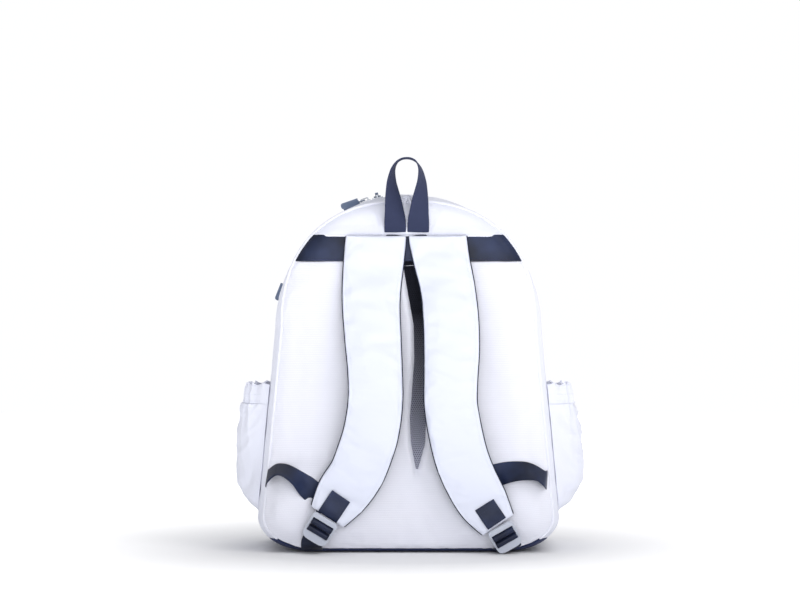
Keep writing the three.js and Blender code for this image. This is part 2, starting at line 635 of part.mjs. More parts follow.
// The webbing that ties the buckle to the tab: behind the crossbar and once round the tab bar.
function tabLoop() {
  const turn = 1.2;
  const rise = CROSSBAR + SLOT_TOP - WEB_CLEARANCE - WEB_THICKNESS / 2;
  const fall = CROSSBAR + SLOT_TOP + TAB_BAR + WEB_CLEARANCE + WEB_THICKNESS / 2;
  const path = [
    [TAB_LOOP_START, BEHIND_N], [rise - 2 * turn, BEHIND_N], [rise, BEHIND_N + turn], [rise, OVER_N - turn],
    [rise + turn, OVER_N], [fall - turn, OVER_N], [fall, OVER_N - turn], [fall, BEHIND_N + turn],
    [fall - turn, BEHIND_N], [fall - 2.4 * turn, BEHIND_N],
  ];
  return foldedWeb(path, 36);
}

// The adjusting webbing: up behind the lip, over the lower bar and back down.
function webbingWrap() {
  const turn = 1.2;
  const bar = CROSSBAR + SLOT_TOP + TAB_BAR + SLOT_MIDDLE;
  const rise = bar - WEB_CLEARANCE - WEB_THICKNESS / 2;
  const fall = bar + LOWER_BAR + WEB_CLEARANCE + WEB_THICKNESS / 2;
  const front = 0.5;
  const behind = front - WEB_THICKNESS - 2 * GAP;
  const path = [
    [BUCKLE_LENGTH, behind], [fall + 3 * turn, behind], [rise + 2 * turn, behind], [rise, behind + 2 * turn],
    [rise, OVER_N - turn], [rise + turn, OVER_N], [fall - turn, OVER_N], [fall, OVER_N - turn],
    [fall, front + 1.4 * turn], [fall + 1.5 * turn, front], [fall + 3 * turn, front], [BUCKLE_LENGTH, front],
  ];
  return foldedWeb(path, 44);
}

function buckle() {
  const half = BUCKLE_WIDTH / 2;
  const corner = 4;
  const shape = new THREE.Shape();
  shape.moveTo(-half + corner, 0);
  shape.lineTo(half - corner, 0);
  shape.quadraticCurveTo(half, 0, half, corner);
  shape.lineTo(half, BUCKLE_LENGTH - LIP);
  shape.bezierCurveTo(half, BUCKLE_LENGTH, half - corner, BUCKLE_LENGTH, 0, BUCKLE_LENGTH);
  shape.bezierCurveTo(corner - half, BUCKLE_LENGTH, -half, BUCKLE_LENGTH, -half, BUCKLE_LENGTH - LIP);
  shape.lineTo(-half, corner);
  shape.quadraticCurveTo(-half, 0, -half + corner, 0);
  let u = CROSSBAR;
  for (const [slot, bar] of [[SLOT_TOP, TAB_BAR], [SLOT_MIDDLE, LOWER_BAR], [SLOT_LOW, LIP]]) {
    const w = BUCKLE_SLOT_WIDTH / 2;
    const hole = [[-w, u], [-w, u + slot], [w, u + slot], [w, u]].map(([x, y]) => new THREE.Vector2(x, y));
    shape.holes.push(new THREE.Path(hole));
    u += slot + bar;
  }
  const geometry = new THREE.ExtrudeGeometry(shape, { depth: BUCKLE_THICKNESS, bevelEnabled: false, curveSegments: 6 });
  geometry.applyMatrix4(new THREE.Matrix4().makeBasis(vec(1, 0, 0), vec(0, 0, -1), vec(0, 1, 0)));
  return geometry.translate(0, -BUCKLE_FRONT_N, 0);
}

// The strap's end on its front face, and the frame that the adjuster hangs in.
function adjusterFrame(strap) {
  const end = strapStations(strap).at(-1);
  const frame = new THREE.Group();
  frame.position.copy(end.at).addScaledVector(end.out, STRAP_THICKNESS);
  frame.rotation.set(radians(strap.lean), radians(strap.tilt), 0, "YXZ");
  return frame;
}

// The webbing from behind the buckle's lip down to the base seam.
function anchorWebbing(strap) {
  const frame = adjusterFrame(strap);
  frame.updateMatrixWorld(true);
  const local = (u, n) => vec(0, -n, -u).applyMatrix4(frame.matrixWorld);
  const across = vec(1, 0, 0).transformDirection(frame.matrixWorld);
  const top = local(BUCKLE_LENGTH + GAP + ANCHOR_TURN_ROOM, 0.5);
  const foot = vec(strap.anchorX, BACK_SEAM_Y - PIPING_RADIUS - WEB_THICKNESS, ANCHOR_HEIGHT);
  const curve = new THREE.CubicBezierCurve3(
    top,
    local(BUCKLE_LENGTH + 6, 0),
    foot.clone().add(vec((top.x - foot.x) / 3, -9, 3)),
    foot,
  );
  const steps = 8;
  const stations = Array.from({ length: steps + 1 }, (_, i) => {
    const at = curve.getPoint(i / steps);
    const side = across.clone().lerp(vec(1, 0, 0), i / steps).normalize();
    const out = curve.getTangent(i / steps).cross(side).normalize();
    return { at, across: side, out, width: WEB_WIDTH };
  });
  return ribbon(stations, -WEB_THICKNESS / 2, WEB_THICKNESS / 2);
}

// ---------------------------------------------------------------- side loops and grab handle
// A webbing loop that stands off the back panel between the side seam and the strap.
function sideLoop(stations) {
  const reach = halfWidthAt(stations[0][1]) - LOOP_SEAM_INSET; // the outer end stays at the side seam
  const stretch = reach / Math.abs(stations[0][0]);
  const points = stations.map(([x, z, stand]) => vec(x * stretch, BACK_FACE_Y - stand, z));
  return ribbon(
    points.map((at, i) => {
      const along = points[Math.min(i + 1, points.length - 1)].clone().sub(points[Math.max(i - 1, 0)]);
      const twist = radians(stations[i][3]);
      const lean = radians(stations[i][4]);
      const up = vec(Math.sin(lean), 0, Math.cos(lean));
      const across = up.clone().multiplyScalar(Math.cos(twist)).setY(Math.sin(twist));
      return { at, across, out: across.clone().cross(along).normalize(), width: LOOP_WIDTH };
    }),
    -WEB_THICKNESS / 2,
    WEB_THICKNESS / 2,
  );
}

function grabHandle() {
  const leg = HANDLE_LEG.map(([z, x, twist]) => [-x, z, twist]);
  const path = [...leg, ...leg.slice(0, -1).reverse().map(([x, z, twist]) => [-x, z, 180 - twist])];
  const face = BACK_FACE_Y - WEB_THICKNESS;
  const points = path.map(([x, z, twist]) =>
    vec(HANDLE_X + x, face - (Math.sin(radians(twist)) * WEB_WIDTH) / 2, YOKE_SEAM + z),
  );
  const stations = points.map((at, i) => {
    const along = points[Math.min(i + 1, points.length - 1)].clone().sub(points[Math.max(i - 1, 0)]).normalize();
    const twist = radians(path[i][2]);
    const across = along.clone().cross(vec(0, 1, 0)).normalize().multiplyScalar(-Math.cos(twist));
    across.y = Math.sin(twist);
    return { at, across, out: across.clone().cross(along).normalize(), width: WEB_WIDTH };
  });
  return ribbon(stations, -WEB_THICKNESS / 2, WEB_THICKNESS / 2);
}

// ---------------------------------------------------------------- zip sliders and pulls
const PLATE_TOP = SLIDER_LIFT + SLIDER_PLATE;
const PULL_AXIS_LIFT = PLATE_TOP + BRIDGE_ROOM / 2;

// Built with the coil's top at z = 0; the bridge runs along X, which the pull follows.
function zipSlider(crosswise) {
  const [length, width] = crosswise ? [SLIDER_WIDTH, SLIDER_LENGTH] : [SLIDER_LENGTH, SLIDER_WIDTH];
  const base = toSolid(
    new THREE.BoxGeometry(length, width, SLIDER_PLATE).translate(0, 0, SLIDER_LIFT + SLIDER_PLATE / 2),
  );
  const inner = BRIDGE_HALF - BRIDGE_LEG;
  const top = PLATE_TOP + BRIDGE_ROOM + BRIDGE_TOP;
  const shape = new THREE.Shape(
    [
      [-BRIDGE_HALF, PLATE_TOP - 1], [-inner, PLATE_TOP - 1], [-inner, top - BRIDGE_TOP],
      [inner, top - BRIDGE_TOP], [inner, PLATE_TOP - 1], [BRIDGE_HALF, PLATE_TOP - 1],
      [BRIDGE_HALF, top - BRIDGE_TOP / 2], [inner, top], [-inner, top], [-BRIDGE_HALF, top - BRIDGE_TOP / 2],
    ].map(([x, z]) => new THREE.Vector2(x, z)),
  );
  return base.add(toSolid(plate(shape, -BRIDGE_WIDTH / 2, BRIDGE_WIDTH / 2)));
}

// A plate drawn in X and Y, standing between two heights.
function flatPlate(shape, z0, z1) {
  return new THREE.ExtrudeGeometry(shape, { depth: z1 - z0, bevelEnabled: false, curveSegments: 5 }).translate(0, 0, z0);
}

function pullOutline(from, to, half, round) {
  const shape = new THREE.Shape();
  shape.moveTo(from, -half).lineTo(to - round, -half);
  shape.quadraticCurveTo(to, -half, to, -half + round).lineTo(to, half - round);
  shape.quadraticCurveTo(to, half, to - round, half).lineTo(from, half);
  return shape;
}

function zipPull() {
  const half = PULL_EYE_WIDTH / 2;
  const gripStart = PULL_HOLE_END + 1;
  const eye = pullOutline(-PULL_END_BAR, gripStart + 1, half, 0.5);
  const w = PULL_HOLE_HALF;
  const hole = [[PULL_END_BAR, -w], [PULL_END_BAR, w], [PULL_HOLE_END, w], [PULL_HOLE_END, -w]];
  eye.holes.push(new THREE.Path(hole.map(([x, y]) => new THREE.Vector2(x, y))));
  const loop = flatPlate(eye, PULL_AXIS_LIFT - PULL_EYE_THICKNESS / 2, PULL_AXIS_LIFT + PULL_EYE_THICKNESS / 2);
  const grip = pullOutline(gripStart, PULL_LENGTH, PULL_GRIP_HEIGHT / 2, PULL_GRIP_HEIGHT / 2 - 0.2);
  const standing = plate(grip, -PULL_GRIP_THICKNESS / 2, PULL_GRIP_THICKNESS / 2);
  return toSolid(loop).add(toSolid(standing.translate(0, 0, PULL_GRIP_FOOT + PULL_GRIP_HEIGHT / 2)));
}

// The frame of a slider at a polar angle of the arch; turn is where its pull points, about the radius.
function sliderFrame(angle, y, turn) {
  const spoke = new THREE.Group();
  spoke.position.set(0, y, SPRING_HEIGHT);
  spoke.rotation.y = radians(90 - angle);
  const seat = new THREE.Group();
  seat.position.z = ARCH_RADIUS;
  seat.rotation.z = radians(turn);
  spoke.add(seat);
  return { spoke, seat };
}

// ---------------------------------------------------------------- assembly
const backpack = new THREE.Group();

function add(name, shape, finish, parent = backpack) {
  const geometry = shape.isBufferGeometry ? shape : toGeometry(shape);
  const mesh = new THREE.Mesh(geometry, new THREE.MeshStandardMaterial({ metalness: 0, ...finish }));
  mesh.name = name;
  parent.add(mesh);
}

function addBackPanel() {
  add("back_cover", backCover(), FINISH.ribMesh);
  add("back_foam", backFoam(), FINISH.foam);
  add("back_lining", backLining(), FINISH.lining);
  add("yoke_band", yokeBand(), FINISH.webbing);
  add("yoke_panel", yokePanel(), FINISH.shell);
  add("spine_mesh", spineMesh(), FINISH.spineMesh);
  add("piping_rear", rearPiping(), FINISH.piping);
}

function addMainCompartment() {
  add("main_gusset", mainGusset(), FINISH.shell);
  add("main_zip_rear", mainStringer(-1), FINISH.zipTape);
  add("main_zip_front", mainStringer(1), FINISH.zipTape);
  add("divider", divider(), FINISH.lining);
  add("base_panel", basePanel(), FINISH.base);
  add("base_board", baseBoard(), FINISH.board);
}

function addRacketCompartment() {
  add("racket_gusset", racketGusset(), FINISH.shell);
  add("racket_port_binding", portBinding(), FINISH.webbing);
  add("racket_zip_rear_left", racketStringerRear(-1), FINISH.zipTape);
  add("racket_zip_rear_right", racketStringerRear(1), FINISH.zipTape);
  add("front_lower_panel", frontLowerPanel(), FINISH.shell);
  add("racket_panel", racketPanel(), FINISH.shell);
  add("racket_panel_lining", racketPanelLining(), FINISH.lining);
  add("racket_zip_front", racketStringerFront(), FINISH.zipTape);
  add("piping_front", frontPiping(), FINISH.piping);
}

function addPockets() {
  for (const [name, side, profile] of [["left", -1, POCKET_LEFT], ["right", 1, POCKET_RIGHT]]) {
    add("side_pocket_" + name, sidePocket(side, profile), FINISH.shell);
    add("pocket_hem_" + name, pocketHem(side, profile), FINISH.shell);
  }
}

function addStrap(name, strap) {
  add("strap_lining_" + name, strapLining(strap), FINISH.strapLining);
  add("strap_foam_" + name, strapFoam(strap), FINISH.foam);
  add("strap_cover_" + name, strapCover(strap), FINISH.strapCover);
  const frame = adjusterFrame(strap);
  backpack.add(frame);
  add("strap_tab_" + name, strapTab(strap), FINISH.webbing);
  add("buckle_" + name, buckle(), FINISH.buckle, frame);
  add("tab_loop_" + name, tabLoop(), FINISH.webbing, frame);
  add("webbing_wrap_" + name, webbingWrap(), FINISH.webbing, frame);
  add("strap_webbing_" + name, anchorWebbing(strap), FINISH.webbing);
}

function addWebbing() {
  add("side_loop_left", sideLoop(LOOP_LEFT), FINISH.webbing);
  add("side_loop_right", sideLoop(LOOP_RIGHT), FINISH.webbing);
  add("grab_handle", grabHandle(), FINISH.handle);
}

function addZipSliders() {
  const sliders = [
    ["main_zip_a", 109, MAIN_ZIP_Y, 180],
    ["main_zip_b", 103.4, MAIN_ZIP_Y, 90],
    ["racket_zip_a", 121.5, RACKET_ZIP_Y, 0],
    ["racket_zip_b", 158.5, RACKET_ZIP_Y, 180],
  ];
  for (const [name, angle, y, turn] of sliders) {
    const { spoke, seat } = sliderFrame(angle, y, turn);
    add(name + "_slider", zipSlider(turn === 90), FINISH.slider, seat);
    add(name + "_pull", zipPull(), FINISH.pull, seat);
    backpack.add(spoke);
  }
}

addBackPanel();
addMainCompartment();
addRacketCompartment();
addPockets();
addStrap("left", STRAP_LEFT);
addStrap("right", STRAP_RIGHT);
addWebbing();
addZipSliders();

export default backpack;
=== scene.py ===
"""The looks of a racket backpack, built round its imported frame.

Lengths inside the classes are millimetres and become metres where a mesh is made. +Z is up, the
wearer's back faces -Y and the racket compartment faces +Y.
"""

from __future__ import annotations

import logging
import math
from dataclasses import dataclass, field, replace
from enum import Enum
from typing import Callable, Optional, Sequence

import bmesh
import bpy
import numpy as np
from mathutils import Matrix, Vector, noise
from mathutils.bvhtree import BVHTree


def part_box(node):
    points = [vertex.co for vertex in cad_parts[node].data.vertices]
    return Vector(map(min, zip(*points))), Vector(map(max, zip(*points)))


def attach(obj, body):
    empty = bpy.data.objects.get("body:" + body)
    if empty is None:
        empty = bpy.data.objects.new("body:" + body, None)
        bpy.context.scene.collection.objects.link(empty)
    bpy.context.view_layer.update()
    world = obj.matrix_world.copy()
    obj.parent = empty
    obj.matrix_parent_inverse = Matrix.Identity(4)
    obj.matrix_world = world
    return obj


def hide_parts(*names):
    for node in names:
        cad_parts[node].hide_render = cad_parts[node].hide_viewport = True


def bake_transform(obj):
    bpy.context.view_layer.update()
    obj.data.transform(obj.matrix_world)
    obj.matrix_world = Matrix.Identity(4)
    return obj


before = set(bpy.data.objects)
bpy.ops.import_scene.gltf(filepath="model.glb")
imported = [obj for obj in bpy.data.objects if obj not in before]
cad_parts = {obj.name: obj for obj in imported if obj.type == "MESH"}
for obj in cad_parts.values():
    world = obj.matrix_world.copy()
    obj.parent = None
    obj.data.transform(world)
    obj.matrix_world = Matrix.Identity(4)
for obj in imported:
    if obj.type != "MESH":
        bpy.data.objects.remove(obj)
LOG = logging.getLogger("backpack")
MM = 0.001
INSIDE = np.array((0.0, 0.0, 190.0))  # a point inside the bag: outer faces look away from it
FORWARD = np.array((0.0, 1.0, 0.0))  # from the wearer's back to the racket compartment
SIGHT_Y = -110.0  # a depth behind the back's padding, from which its stitches are dropped onto it
CLOTH_STEPS = 20  # frames of cloth simulation
DROP = 30.0  # how far off a face a stitch's path starts to fall
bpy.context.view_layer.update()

Array = np.ndarray
Thing = bpy.types.Object
Socket = bpy.types.NodeSocket
Colour = tuple[float, float, float]


# ---------------------------------------------------------------- curves and noise
def smoothstep(low: float, high: float, value: Array) -> Array:
    """A soft step from 0 at low to 1 at high.

    Args:
        low: Where the step starts.
        high: Where the step ends.
        value: The values to step.

    Returns:
        The stepped values.
    """
    t = np.clip((np.asarray(value, float) - low) / (high - low), 0, 1)
    return t * t * (3 - 2 * t)


def catmull(points: Sequence[Sequence[float]], count: int) -> Array:
    """A smooth curve through points of any dimension.

    Args:
        points: The points that the curve passes through.
        count: How many samples to return.

    Returns:
        An array of count samples, evenly spread over the spans.
    """
    p = np.asarray(points, float)
    padded = np.vstack((2 * p[0] - p[1], p, 2 * p[-1] - p[-2]))
    at = np.linspace(0, len(p) - 1, count)
    span = np.minimum(at.astype(int), len(p) - 2)
    t = (at - span)[:, None]
    a, b, c, d = (padded[span + k] for k in range(4))
    return 0.5 * (2 * b + (c - a) * t + (2 * a - 5 * b + 4 * c - d) * t**2 + (3 * b - a - 3 * c + d) * t**3)


def unit(vectors: Array) -> Array:
    """The vectors at length 1."""
    return vectors / np.maximum(np.linalg.norm(vectors, axis=-1, keepdims=True), 1e-9)


def tangents(points: Array) -> Array:
    """The unit direction along a line of points."""
    return unit(np.gradient(points, axis=0))


def crumple(points: Array, size: float, seed: float, octaves: int = 3) -> Array:
    """Smooth noise from about -1 to 1 at each point.

    Args:
        points: Points in millimetres, in any grid.
        size: The width of one fold, in millimetres.
        seed: Shifts the noise, so that pieces differ.
        octaves: How many finer layers are added.

    Returns:
        One value for each point.
    """
    flat = points.reshape(-1, 3) / size + seed
    values = [noise.fractal(Vector(p), 1.0, 2.0, octaves) for p in flat]
    return np.array(values).reshape(points.shape[:-1])


def grid_normals(points: Array) -> Array:
    """Unit normals of a grid of points, which look out of the bag on the whole."""
    rows, columns = np.gradient(points, axis=0), np.gradient(points, axis=1)
    normals = unit(np.cross(columns, rows))
    side = np.sum(normals * (points - INSIDE))
    return normals if side >= 0 else -normals


@dataclass(frozen=True)
class Folds:
    """A layer of folds in cloth: their height and width in millimetres, and their place in the noise."""

    height: float
    size: float
    seed: float
    octaves: int = 3

    def at(self, points: Array) -> Array:
        """How far the folds raise each point."""
        return self.height * crumple(points, self.size, self.seed, self.octaves)


# ---------------------------------------------------------------- meshes
def smooth_object(name: str, mesh: bpy.types.Mesh) -> Thing:
    """A mesh as a smooth-shaded object in the scene."""
    mesh.polygons.foreach_set("use_smooth", [True] * len(mesh.polygons))
    thing = bpy.data.objects.new(name, mesh)
    bpy.context.scene.collection.objects.link(thing)
    return thing


def new_object(
    name: str, verts: Array, faces: Sequence[Sequence[int]], uv: Optional[Array] = None
) -> Thing:
    """Makes a smooth-shaded object.

    Args:
        name: The piece's name.
        verts: Points in millimetres.
        faces: Vertex indices of each face.
        uv: Fabric coordinates of each vertex in metres, or None.

    Returns:
        The new object, linked to the scene.
    """
    mesh = bpy.data.meshes.new(name)
    mesh.from_pydata((np.asarray(verts) * MM).tolist(), [], [list(f) for f in faces])
    if uv is not None:
        layer = mesh.uv_layers.new(name="weave")
        index = np.zeros(len(mesh.loops), int)
        mesh.loops.foreach_get("vertex_index", index)
        layer.data.foreach_set("uv", (np.asarray(uv)[index]).astype(np.float32).ravel())
    return smooth_object(name, mesh)


def settle(thing: Thing) -> Thing:
    """Applies all of an object's modifiers.

    Args:
        thing: The object with modifiers.

    Returns:
        The same object with its final mesh.
    """
    graph = bpy.context.evaluated_depsgraph_get()
    made = bpy.data.meshes.new_from_object(
        thing.evaluated_get(graph), preserve_all_data_layers=True, depsgraph=graph
    )
    made.name = thing.name
    old = thing.data
    thing.modifiers.clear()
    thing.data = made
    bpy.data.meshes.remove(old)
    return thing


def facing_out(thing: Thing) -> Thing:
    """Turns the faces of a closed mesh outwards."""
    made = bmesh.new()
    made.from_mesh(thing.data)
    bmesh.ops.recalc_face_normals(made, faces=made.faces)
    made.to_mesh(thing.data)
    made.free()
    return thing


def vertices_mm(thing: Thing) -> Array:
    """An object's vertices in millimetres."""
    return np.array([tuple(v.co) for v in thing.data.vertices]) / MM


def grid_quads(rows: int, cols: int) -> Array:
    """The four corners of each cell of a grid, as vertex indices."""
    index = np.arange(rows * cols).reshape(rows, cols)
    return np.stack((index[:-1, :-1], index[:-1, 1:], index[1:, 1:], index[1:, :-1]), axis=2)


def tube_faces(base: int, rings: int, sides: int) -> list:
    """The faces of a closed tube whose vertices run ring by ring.

    Args:
        base: The index of its first vertex.
        rings: How many rings it has.
        sides: How many vertices each ring has.

    Returns:
        The side faces, then the two ends.
    """
    faces: list = []
    for start in range(base, base + (rings - 1) * sides, sides):
        for k in range(sides):
            a, b = start + k, start + (k + 1) % sides
            faces.append((a, b, b + sides, a + sides))
    last = base + (rings - 1) * sides
    faces.append(tuple(range(base + sides - 1, base - 1, -1)))
    faces.append(tuple(range(last, last + sides)))
    return faces


def grid_uv(points: Array) -> Array:
    """Fabric coordinates in metres: across the columns, then along the rows."""
    across = np.linalg.norm(np.diff(points, axis=1, prepend=points[:, :1]), axis=2).cumsum(axis=1)
    along = np.linalg.norm(np.diff(points, axis=0, prepend=points[:1]), axis=2).cumsum(axis=0)
    across -= across[:, -1:] / 2
    return np.stack((across, along), axis=2) * MM


def flat_uv(thing: Thing, across: int, along: int) -> None:
    """Lays a piece's fabric flat, with its threads along two of the axes."""
    layer = thing.data.uv_layers["weave"].data
    for loop in thing.data.loops:
        co = thing.data.vertices[loop.vertex_index].co
        layer[loop.index].uv = (co[across], co[along])


def closed_pad(name: str, front: Array, back: Array, swell: float = 0.0) -> Thing:
    """A closed piece between two grids of the same size, with a rounded rim.

    Args:
        name: The piece's name.
        front: The grid that shows.
        back: The grid behind it.
        swell: How far the rim's middle stands out, in millimetres.

    Returns:
        The new object. Vertices are the front's, then the back's, then the rim's.
    """
    rows, cols = front.shape[:2]
    index = np.arange(rows * cols).reshape(rows, cols)
    ring = np.concatenate((index[0, :-1], index[:-1, -1], index[-1, :0:-1], index[:0:-1, 0]))
    near = index[np.clip(ring // cols, 1, rows - 2), np.clip(ring % cols, 1, cols - 2)]
    f, b = front.reshape(-1, 3), back.reshape(-1, 3)
    depth = unit(f[ring] - b[ring])
    out = f[ring] - f[near]
    out = unit(out - depth * np.sum(out * depth, axis=1, keepdims=True))
    rim = (f[ring] + b[ring]) / 2 + out * swell
    count = rows * cols
    quads = grid_quads(rows, cols).reshape(-1, 4)
    k = np.arange(len(ring))
    nxt = (k + 1) % len(ring)
    rim_front = np.stack((ring[nxt], ring, 2 * count + k, 2 * count + nxt), axis=1)
    rim_back = np.stack((2 * count + nxt, 2 * count + k, count + ring, count + ring[nxt]), axis=1)
    faces = np.vstack((quads, quads[:, ::-1] + count, rim_front, rim_back)).tolist()
    uv = grid_uv(front).reshape(-1, 2)
    return facing_out(new_object(name, np.vstack((f, b, rim)), faces, np.vstack((uv, uv, uv[ring]))))


WALL_ROUNDING = 0.2  # of a wall's thickness


def wall(name: str, points: Array, thickness: float, keep: Optional[Array] = None) -> Thing:
    """A wall of fabric behind a grid of outer points.

    Args:
        name: The piece's name.
        points: The grid of the outer face.
        thickness: The wall's thickness.
        keep: Which cells of the grid exist, or None for all.

    Returns:
        The new object.
    """
    quads = grid_quads(*points.shape[:2])
    quads = quads[keep] if keep is not None else quads.reshape(-1, 4)
    normals = grid_normals(points).reshape(-1, 3)
    flat = points.reshape(-1, 3)
    a, b, c, _ = flat[quads[0]]
    if np.dot(np.cross(b - a, c - a), normals[quads[0][0]]) < 0:
        quads = quads[:, ::-1]
    used, renumbered = np.unique(quads, return_inverse=True)
    uv = grid_uv(points).reshape(-1, 2)[used]
    thing = new_object(name, flat[used], renumbered.reshape(-1, 4).tolist(), uv)
    solid = thing.modifiers.new("wall", "SOLIDIFY")
    solid.thickness, solid.offset, solid.use_even_offset = thickness * MM, -1, False
    edge = thing.modifiers.new("edge", "BEVEL")
    edge.width, edge.segments = WALL_ROUNDING * thickness * MM, 2
    edge.limit_method, edge.angle_limit = "ANGLE", 1.0
    return settle(thing)


# places over a strip's half width; its outermost columns are thinner, which rounds its edges
RIBBON_COLUMNS = np.array((-1, -0.965, -0.8, -0.5, -0.17, 0.17, 0.5, 0.8, 0.965, 1))
RIBBON_EDGE = 0.55  # the thickness of the outermost columns, as a share


def ribbon(
    name: str, centre: Array, across: Array, out: Array, width: Array | float, thickness: float
) -> Thing:
    """A strip of webbing with rounded edges.

    Args:
        name: The piece's name.
        centre: Points on its middle line.
        across: Unit directions over its width.
        out: Unit directions out of its face.
        width: Its width, one value or one for each point.
        thickness: Its thickness.

    Returns:
        The new object.
    """
    reach = np.broadcast_to(np.asarray(width, float) / 2, (len(centre),))[:, None, None]
    line = centre[:, None] + across[:, None] * RIBBON_COLUMNS[None, :, None] * reach
    half = thickness / 2 * np.where(np.abs(RIBBON_COLUMNS) == 1, RIBBON_EDGE, 1.0)[None, :, None]
    return closed_pad(name, line + out[:, None] * half, line - out[:, None] * half, 0.12 * thickness)


CORD_SIDES = 12


def cord(name: str, points: Array, radius: Array | float) -> Thing:
    """A round covered cord along points, closed at its ends.

    Args:
        name: The piece's name.
        points: Points on its middle line.
        radius: Its radius, one value or one for each point.

    Returns:
        The new object.
    """
    along = tangents(points)
    side = unit(np.cross(along, FORWARD))
    up = np.cross(side, along)
    angle = np.linspace(0, 2 * math.pi, CORD_SIDES, endpoint=False)
    r = np.broadcast_to(np.asarray(radius, float), (len(points),)).copy()
    r[[0, -1]] *= 0.35
    r = r[:, None, None]
    ring = side[:, None] * np.cos(angle)[None, :, None] + up[:, None] * np.sin(angle)[None, :, None]
    verts = points[:, None] + ring * r
    index = np.arange(verts.size // 3).reshape(len(points), CORD_SIDES)
    turned = np.roll(index, -1, axis=1)
    faces = np.stack((index[:-1], turned[:-1], turned[1:], index[1:]), axis=2).reshape(-1, 4).tolist()
    faces += [index[0][::-1].tolist(), index[-1].tolist()]
    return facing_out(new_object(name, verts.reshape(-1, 3), faces, grid_uv(verts).reshape(-1, 2)))


def rounded_copy(node: str, name: str, width: float, segments: int, angle: float = 32) -> Thing:
    """A CAD node's shape with rounded edges, as a new piece.

    Args:
        node: The CAD node to copy.
        name: The new piece's name.
        width: The width of the rounding, in millimetres.
        segments: Steps across the rounding.
        angle: Edges sharper than this many degrees are rounded.

    Returns:
        The new object.
    """
    shape = bmesh.new()
    shape.from_mesh(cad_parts[node].data)
    bmesh.ops.remove_doubles(shape, verts=shape.verts, dist=1e-5)
    bmesh.ops.dissolve_limit(shape, angle_limit=math.radians(1.5), verts=shape.verts, edges=shape.edges)
    sharp = [e for e in shape.edges if len(e.link_faces) == 2 and e.calc_face_angle() > math.radians(angle)]
    bmesh.ops.bevel(
        shape, geom=sharp, offset=width * MM, segments=segments, profile=0.5, affect="EDGES",
        clamp_overlap=True,
    )
    bmesh.ops.recalc_face_normals(shape, faces=shape.faces)
    mesh = bpy.data.meshes.new(name)
    shape.to_mesh(mesh)
    shape.free()
    thing = smooth_object(name, mesh)
    thing.modifiers.new("normals", "WEIGHTED_NORMAL").keep_sharp = True
    return settle(thing)


def inflate(thing: Thing, pinned: Array, pressure: float, slack: float, cap: float) -> None:
    """Swells a padded piece by cloth simulation.

    Args:
        thing: The closed mesh to swell.
        pinned: Which vertices are sewn down.
        pressure: How hard the padding pushes.
        slack: How much longer the fabric is than the shape, as a share.
        cap: The furthest that a point may move, in millimetres.
    """
    group = thing.vertex_groups.new(name="sewn")
    group.add([int(i) for i in np.flatnonzero(pinned)], 1.0, "REPLACE")
    cloth = thing.modifiers.new("padding", "CLOTH")
    cloth.settings.quality = 4
    cloth.settings.mass = 0.2
    cloth.settings.use_pressure = True
    cloth.settings.uniform_pressure_force = pressure
    cloth.settings.shrink_min = -slack
    cloth.settings.vertex_group_mass = "sewn"
    cloth.settings.effector_weights.gravity = 0
    cloth.collision_settings.use_collision = False
    cloth.point_cache.frame_start, cloth.point_cache.frame_end = 1, CLOTH_STEPS
    scene = bpy.context.scene
    for step in range(1, CLOTH_STEPS + 1):
        scene.frame_set(step)
    graph = bpy.context.evaluated_depsgraph_get()
    swollen = thing.evaluated_get(graph).to_mesh()
    before = np.zeros(len(thing.data.vertices) * 3)
    after = before.copy()
    thing.data.vertices.foreach_get("co", before)
    swollen.vertices.foreach_get("co", after)
    before, after = before.reshape(-1, 3), after.reshape(-1, 3)
    move = after - before
    length = np.maximum(np.linalg.norm(move, axis=1, keepdims=True), 1e-9)
    move *= np.minimum(length, cap * MM) / length
    thing.evaluated_get(graph).to_mesh_clear()
    thing.modifiers.clear()
    thing.vertex_groups.clear()
    thing.data.vertices.foreach_set("co", (before + move).ravel())
    scene.frame_set(1)


def refine(thing: Thing) -> Thing:
    """Subdivides a piece smoothly, once."""
    smooth = thing.modifiers.new("smooth", "SUBSURF")
    smooth.levels = smooth.render_levels = 1
    return settle(thing)


def push(thing: Thing, amount: Callable[[Array, Array], Array]) -> None:
    """Moves an object's points along their normals.

    Args:
        thing: The object to shape.
        amount: Gives each point's move in millimetres from the points and normals.
    """
    mesh = thing.data
    co = np.zeros(len(mesh.vertices) * 3)
    mesh.vertices.foreach_get("co", co)
    normals = np.array([tuple(v.normal) for v in mesh.vertices])
    co = co.reshape(-1, 3)
    co += normals * (amount(co / MM, normals) * MM)[:, None]
    mesh.vertices.foreach_set("co", co.ravel())
    mesh.update()


# ---------------------------------------------------------------- stitching
# along a stitch: how far along it, how far out in thread radii, and how thick
STITCH_AT, STITCH_OUT, STITCH_SIZE = np.array(
    ((0, -1.2, 0.4), (0.18, 0.1, 1), (0.5, 0.45, 1), (0.82, 0.1, 1), (1, -1.2, 0.4))
).T
STITCH_SIDES = 6


